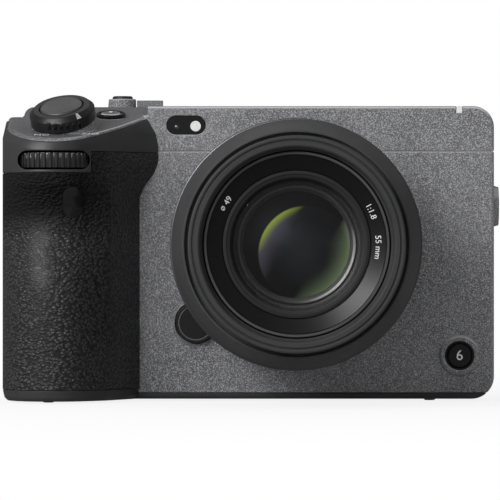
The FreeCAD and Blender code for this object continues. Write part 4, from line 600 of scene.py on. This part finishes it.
add_piece("rear_barrel_skin", lathed(
    [(-20.5, 30.4), (-24.5, 31.7), (-31.5, 31.9), (-31.6, 31.6), (-32.2, 31.6), (-32.3, 31.9), (-39.4, 32.0),
     (-39.7, 31.7), (-39.7, 29.5), (-67.2, 29.5), (-67.2, 28.0), (-59.2, 28.0), (-59.2, 13.0), (-58.0, 13.0),
     (-58.0, 28.0), (-22.5, 28.0), (-22.5, 15.5), (-30.5, 15.5), (-30.5, 14.0), (-20.5, 14.0)]),
    anodised, "body", ("rear_barrel",), width=0.00006, angle=20.0)

focus = lathed(
    [(-66.0, 29.56), (-66.0, 31.9), (-65.7, 32.2), (-63.0, 32.2), (-62.7, 31.8), (-62.3, 31.8),
     (-62.0, 32.2), (-60.8, 32.2), (-60.5, 31.8), (-60.1, 31.8), (-59.8, 32.2), (-58.6, 32.2),
     (-58.3, 31.8), (-57.9, 31.8), (-57.6, 32.2), (-55.4, 32.2), (-55.0, 31.75), (-42.8, 31.75),
     (-42.4, 32.2), (-40.3, 32.2), (-40.0, 31.9), (-40.0, 29.56)], steps=288)


def from_lens_axis(face):
    """The middle of a face as (x, z) from the lens axis."""
    middle = face.calc_center_median() - LENS_AXIS
    return Vector((middle.x, middle.z))


# The grip band: two of every three facets between the end beads stand out as ribs.
band = [face for face in focus.faces
        if -0.0549 < face.calc_center_median().y < -0.0429 and from_lens_axis(face).length > 0.031]
band.sort(key=lambda face: math.atan2(from_lens_axis(face).y, from_lens_axis(face).x))
ribs = [face for k, face in enumerate(band) if k % 3]
bmesh.ops.inset_region(focus, faces=ribs, thickness=0.0002, depth=0.00042, use_even_offset=True)
add_piece("focus_ring_skin", focus, anodised, "focus_ring", ("focus_ring",),
          width=0.00005, angle=20.0)

# The filter thread: four turns, drawn as grooves.
THREAD_PITCH = 0.8
thread = [(-88.0, 24.4)]
for k in range(4):
    thread += [(-87.7 + THREAD_PITCH * k, 24.75), (-87.3 + THREAD_PITCH * k, 24.4)]
add_piece("front_barrel_skin", lathed(
    [(-66.3, 31.9), (-66.6, 32.2), (-68.3, 32.2), (-68.62, 31.86), (-72.3, 31.3), (-78.5, 28.9),
     (-78.5, 28.4), (-76.5, 28.4), (-76.5, 27.4), (-85.1, 27.4), (-85.3, 26.9), (-85.9, 26.9),
     (-86.1, 27.4), (-88.2, 27.4), (-88.5, 27.1), (-88.5, 26.55), (-88.1, 26.35), (-88.1, 26.15),
     (-88.5, 25.95), (-88.5, 24.9), *thread, (-84.5, 24.4), (-84.5, 23.8), (-82.7, 23.8),
     (-82.7, 18.6), (-83.6, 18.6), (-83.6, 17.75), (-83.4, 17.65), (-83.4, 17.35), (-83.25, 16.8),
     (-81.6, 16.1), (-81.2, 16.1), (-81.2, 16.95), (-66.0, 16.95), (-66.0, 18.6), (-80.7, 18.6),
     (-80.7, 25.5), (-61.4, 25.5), (-61.4, 27.9), (-67.4, 27.9), (-67.4, 29.6), (-66.3, 29.6)]),
    anodised, "body", ("front_barrel",), width=0.00005, angle=20.0)

# The front corner of the barrel, where the turning tool leaves the metal bare.
bare_edge = grained("bare_edge", (0.2, 0.2, 0.21), 0.4, metallic=1.0, grain=4200.0)
corner = lathed([(-68.25, 32.0), (-68.25, 32.2), (-68.42, 32.2), (-68.6, 32.12), (-68.72, 31.98),
                 (-68.76, 31.8)])
add_piece("front_edge", corner, bare_edge, "body", angle=20.0)

# Name ring: a polished black plastic cone pressed into the front of the barrel, with a bright turned
# rim. Its sizes are printed white: lens speed, length and filter thread.
polished_black = grained("polished_black", (0.003, 0.003, 0.0032), 0.3, grain=900.0, relief=0.0)
cone = lathed([(-84.45, 22.62), (-84.45, 23.5), (-83.9, 23.6), (-83.9, 23.7), (-82.75, 23.7),
               (-82.75, 18.7), (-83.2, 18.7), (-83.25, 18.95), (-84.15, 22.2), (-84.2, 22.45)])
add_piece("name_ring_skin", cone, polished_black, "body", ("name_ring",),
          width=0.00003, angle=20.0)
bright_rim = grained("bright_rim", (0.17, 0.17, 0.175), 0.38, metallic=0.8, grain=4200.0)
add_piece("name_ring_rim", lathed([(-84.4, 22.66), (-84.58, 22.8), (-84.58, 23.32), (-84.4, 23.46)]),
          bright_rim, "body")


PRINT_RADIUS = 0.0199
CONE_SLOPE = 0.277


def ring_print(words, middle):
    """Lettering bent round the cone of the name ring; its middle angle is in degrees."""
    curve = bpy.data.curves.new("ring_print", "FONT")
    curve.body = words
    curve.size = 0.0021
    curve.align_x = "CENTER"
    curve.extrude = 0.00001
    curve.resolution_u = 3
    holder = bpy.data.objects.new("ring_print", curve)
    mesh = bpy.data.meshes.new_from_object(holder)
    bpy.data.objects.remove(holder)
    bm = bmesh.new()
    bm.from_mesh(mesh)
    bpy.data.meshes.remove(mesh)
    bmesh.ops.remove_doubles(bm, verts=bm.verts, dist=0.0000005)
    for vert in bm.verts:
        reach = PRINT_RADIUS + vert.co.y
        turn = math.radians(middle) - vert.co.x / PRINT_RADIUS
        depth = -0.084165 + (0.0222 - reach) * CONE_SLOPE - vert.co.z
        vert.co = LENS_AXIS + Vector((reach * math.cos(turn), depth, reach * math.sin(turn)))
    bmesh.ops.recalc_face_normals(bm, faces=bm.faces)
    return bm


for name, words, middle in (("aperture", "1:1.8", 24.0), ("length", "55 mm", -2.0),
                            ("filter", "⌀ 49", 150.0)):
    add_piece("name_ring_print_" + name, ring_print(words, middle), print_white, "body")

# Front glass: a ground and polished element with a clear coating and a little dust, held in the
# barrel's front cell. It casts no shadow, so that the lamps reach what is behind it.
clear, tree, shader, coords = new_material("coated_glass")
shader.inputs["Metallic"].default_value = 0.0
shader.inputs["Transmission Weight"].default_value = 1.0
shader.inputs["IOR"].default_value = 1.52
dust = noise(tree, coords, 420.0, 5.0)
tree.links.new(mix_color(tree, remap(tree, dust, 0.45, 0.8, 0.0, 1.0), (1, 1, 1), (0.93, 0.94, 0.93)),
               shader.inputs["Base Color"])
shader.inputs["Roughness"].default_value = 0.0


ARC_STEPS = 14


def arc(front, rear, radius, bulge_front, bulge_rear):
    """Section of a lens: apex places and edge setbacks of its two faces in millimetres."""
    parts = [k / ARC_STEPS for k in range(ARC_STEPS + 1)]
    face = [(front + bulge_front * part ** 2, radius * part) for part in parts]
    back = [(rear + bulge_rear * part ** 2, radius * part) for part in reversed(parts)]
    return face + back


front_element = add_piece("front_element", lathed(arc(-82.8, -81.0, 16.05, 1.75, 1.6)), clear, "body",
                          ("lens_elements",), angle=60.0)
front_element.visible_shadow = False

# Inner elements: strongly curved glass. Its coatings' yellow-green glint at the left edge, its green
# glow at the lower right and what it mirrors and lets through are painted reflections: a dark shine
# and soft rings of colour given off as emission, about a centre a little off the lens axis.
def toward(tree, across, direction):
    """How far a flat vector reaches in one direction."""
    node = tree.nodes.new("ShaderNodeVectorMath")
    node.operation = "DOT_PRODUCT"
    node.inputs[1].default_value = direction
    tree.links.new(across, node.inputs[0])
    return node.outputs["Value"]


painted_reflection_glass, tree, shader, coords = new_material("inner_element_painted_reflections")
radius_out, across = from_axis(tree, coords, (0.0025, 0.0, 0.0385))
upper_left = toward(tree, across, (-0.72, 0, 0.69))
left = toward(tree, across, (-0.9, 0, 0.43))
lower_right = toward(tree, across, (0.85, 0, -0.53))
inside = remap(tree, radius_out, 0.0118, 0.0122, 1.0, 0.0)
outer_ring = product(tree, inside, remap(tree, radius_out, 0.0098, 0.0118, 0.0, 1.0))
crescent = product(tree, outer_ring, remap(tree, upper_left, 0.0085, 0.0112, 0.0, 1.0))
glow = product(tree, remap(tree, radius_out, 0.005, 0.0125, 0.0, 1.0),
               remap(tree, lower_right, 0.003, 0.0115, 0.0, 1.0))
sheen = product(tree, product(tree, inside, remap(tree, radius_out, 0.004, 0.0105, 0.0, 1.0)),
                remap(tree, left, 0.006, 0.0115, 0.0, 1.0))
middle = product(tree, inside, remap(tree, radius_out, 0.0, 0.009, 1.0, 0.15))
tint = mix_color(tree, middle, (0.004, 0.004, 0.005), (0.055, 0.06, 0.075))
tree.links.new(tint, shader.inputs["Base Color"])
shine = mix_color(tree, glow, (0.0, 0.0, 0.0), (0.19, 0.26, 0.14))
shine = mix_color(tree, product(tree, glow, remap(tree, radius_out, 0.0105, 0.0135, 0.0, 1.0)), shine,
                  (0.34, 0.38, 0.3))
shine = mix_color(tree, sheen, shine, (0.055, 0.05, 0.065))
shine = mix_color(tree, crescent, shine, (0.2, 0.26, 0.004))
# Painted reflections: the rings of colour are given off as emission, not lit by the lamps.
tree.links.new(shine, shader.inputs["Emission Color"])
shader.inputs["Emission Strength"].default_value = 1.0
shader.inputs["Metallic"].default_value = 1.0
tree.links.new(remap(tree, noise(tree, coords, 160.0), 0.3, 0.7, 0.3, 0.34), shader.inputs["Roughness"])
for name, section in (("second_element", arc(-79.9, -74.0, 13.4, 3.6, 0.5)),
                      ("third_element", arc(-71.0, -69.0, 13.4, 0.8, -0.6)),
                      ("rear_element", arc(-24.2, -21.1, 13.9, 0.3, -0.5))):
    add_piece(name, lathed(section), painted_reflection_glass, "body", angle=60.0)

# Cell of the inner glass: a turned ring in flat black, and the polished cone that retains the glass.
# The cone's lower right is painted lighter, a painted highlight.
cell_black = grained("cell_black", (0.004, 0.004, 0.004), 0.55, grain=2400.0)
cell = lathed([(-79.4, 16.9), (-79.4, 16.3), (-78.9, 15.4), (-78.2, 15.1), (-77.2, 13.5),
               (-72.0, 13.5), (-72.0, 16.9)])
add_piece("glass_cell", cell, cell_black, "body", angle=20.0)
polished_cone = grained("polished_cone", (0.02, 0.02, 0.02), 0.3, grain=1200.0, relief=0.0)
tree = polished_cone.node_tree
shader = tree.nodes["Principled BSDF"]
shader.inputs["Specular IOR Level"].default_value = 1.0
_, across = from_axis(tree, tree.nodes["Texture Coordinate"].outputs["Object"], LENS_AXIS)
# Painted highlight: the colour is lighter towards the lower right of the cone.
cone_highlight = remap(tree, toward(tree, across, (0.84, 0, -0.54)), 0.0088, 0.0143, 0.0, 1.0)
tree.links.new(mix_color(tree, cone_highlight, (0.02, 0.02, 0.02), (0.3, 0.3, 0.29)), shader.inputs["Base Color"])
add_piece("polished_cell_cone", lathed([(-78.6, 14.75), (-78.2, 14.2), (-78.05, 14.35), (-78.45, 14.9)]),
          polished_cone, "body", angle=20.0)

# Bayonet: the turned and chromed steel ring that couples the lens to the body's mount. It is
# screwed to the back of the lens barrel.
softened("lens_bayonet", turned_steel, "body", width=0.00008)

# Studio: a white floor and backdrop, a soft lamp high on the left, a weaker one nearer the camera and
# a wide one behind for the top edge. The camera stands about level with the lens, far off.
FLOOR_DROP = 0.0006
floor_bm = bmesh.new()
bmesh.ops.create_grid(floor_bm, x_segments=1, y_segments=1, size=3.0)
bmesh.ops.translate(floor_bm, verts=floor_bm.verts, vec=(0, 0, -FLOOR_DROP))
floor_mesh = bpy.data.meshes.new("studio_floor")
floor_bm.to_mesh(floor_mesh)
floor_bm.free()
floor = bpy.data.objects.new("studio_floor", floor_mesh)
bpy.context.scene.collection.objects.link(floor)


def mix_shaders(tree, factor, first, second):
    """Mixes two shader outputs."""
    node = tree.nodes.new("ShaderNodeMixShader")
    for socket, value in zip(node.inputs, (factor, first, second)):
        tree.links.new(value, socket)
    return node.outputs["Shader"]


def plain_light(tree, kind, level):
    """A grey emission or background shader of one level; 1 is white."""
    node = tree.nodes.new(kind)
    node.inputs["Color"].default_value = (level, level, level, 1)
    node.inputs["Strength"].default_value = 1.0
    return node.outputs[0]


# The floor is white to the camera, and lets a little of the object's shadow through near it; in
# reflections and behind glass it is about as grey as the rest of the studio.
floor_white, tree, shader, coords = new_material("floor_white")
shader.inputs["Base Color"].default_value = (0.75, 0.75, 0.75, 1)
shader.inputs["Roughness"].default_value = 0.8
rays = tree.nodes.new("ShaderNodeLightPath").outputs
distance = tree.nodes.new("ShaderNodeVectorMath")
distance.operation = "LENGTH"
tree.links.new(coords, distance.inputs[0])
share = product(tree, rays["Is Camera Ray"], remap(tree, distance.outputs["Value"], 0.05, 0.35, 0.86, 1.0))
seen = mix_shaders(tree, share, shader.outputs["BSDF"], plain_light(tree, "ShaderNodeEmission", 1.0))
mirrored = tree.nodes.new("ShaderNodeMath")
mirrored.operation = "MAXIMUM"
tree.links.new(rays["Is Glossy Ray"], mirrored.inputs[0])
tree.links.new(rays["Is Transmission Ray"], mirrored.inputs[1])
surface = mix_shaders(tree, mirrored.outputs[0], seen, plain_light(tree, "ShaderNodeEmission", 0.12))
tree.links.new(surface, tree.nodes["Material Output"].inputs["Surface"])
floor.data.materials.append(floor_white)

# The sky lights the object evenly, is darker in reflections and white to the camera.
world = bpy.data.worlds.new("studio")
bpy.context.scene.world = world
world.use_nodes = True
tree = world.node_tree
rays = tree.nodes.new("ShaderNodeLightPath").outputs
lit = plain_light(tree, "ShaderNodeBackground", 0.54)
reflected = plain_light(tree, "ShaderNodeBackground", 0.14)
white = plain_light(tree, "ShaderNodeBackground", 1.0)
around = mix_shaders(tree, rays["Is Glossy Ray"], lit, reflected)
sky = mix_shaders(tree, rays["Is Camera Ray"], around, white)
tree.links.new(sky, tree.nodes["World Output"].inputs["Surface"])


def soft_lamp(name, place, width, height, watts):
    """A rectangular softbox that points at a spot; glass doesn't show it."""
    lamp = bpy.data.lights.new(name, "AREA")
    lamp.shape = "RECTANGLE"
    lamp.size = width
    lamp.size_y = height
    lamp.energy = watts
    holder = bpy.data.objects.new(name, lamp)
    holder.visible_transmission = False
    holder.location = place
    holder.rotation_euler = (AIM - Vector(place)).to_track_quat("-Z", "Y").to_euler()
    bpy.context.scene.collection.objects.link(holder)


AIM = Vector((0, 0, 0.04))
soft_lamp("key_lamp", (-0.833, -0.913, 0.74), 0.8, 0.8, 11.0)
soft_lamp("front_lamp", (-0.54, -1.19, 0.53), 0.3, 0.3, 3.2)
soft_lamp("top_lamp", (0.0, 0.5, 1.0), 1.2, 0.4, 1.2)

camera_data = bpy.data.cameras.new("camera")
camera_data.sensor_width = 36.0
camera_data.lens = 380.0
camera = bpy.data.objects.new("camera", camera_data)
camera.location = (-0.01176, -1.413, 0.0395)
camera.rotation_euler = (math.radians(90), 0, 0)
bpy.context.scene.collection.objects.link(camera)
bpy.context.scene.camera = camera
bpy.context.scene.view_settings.view_transform = "Standard"
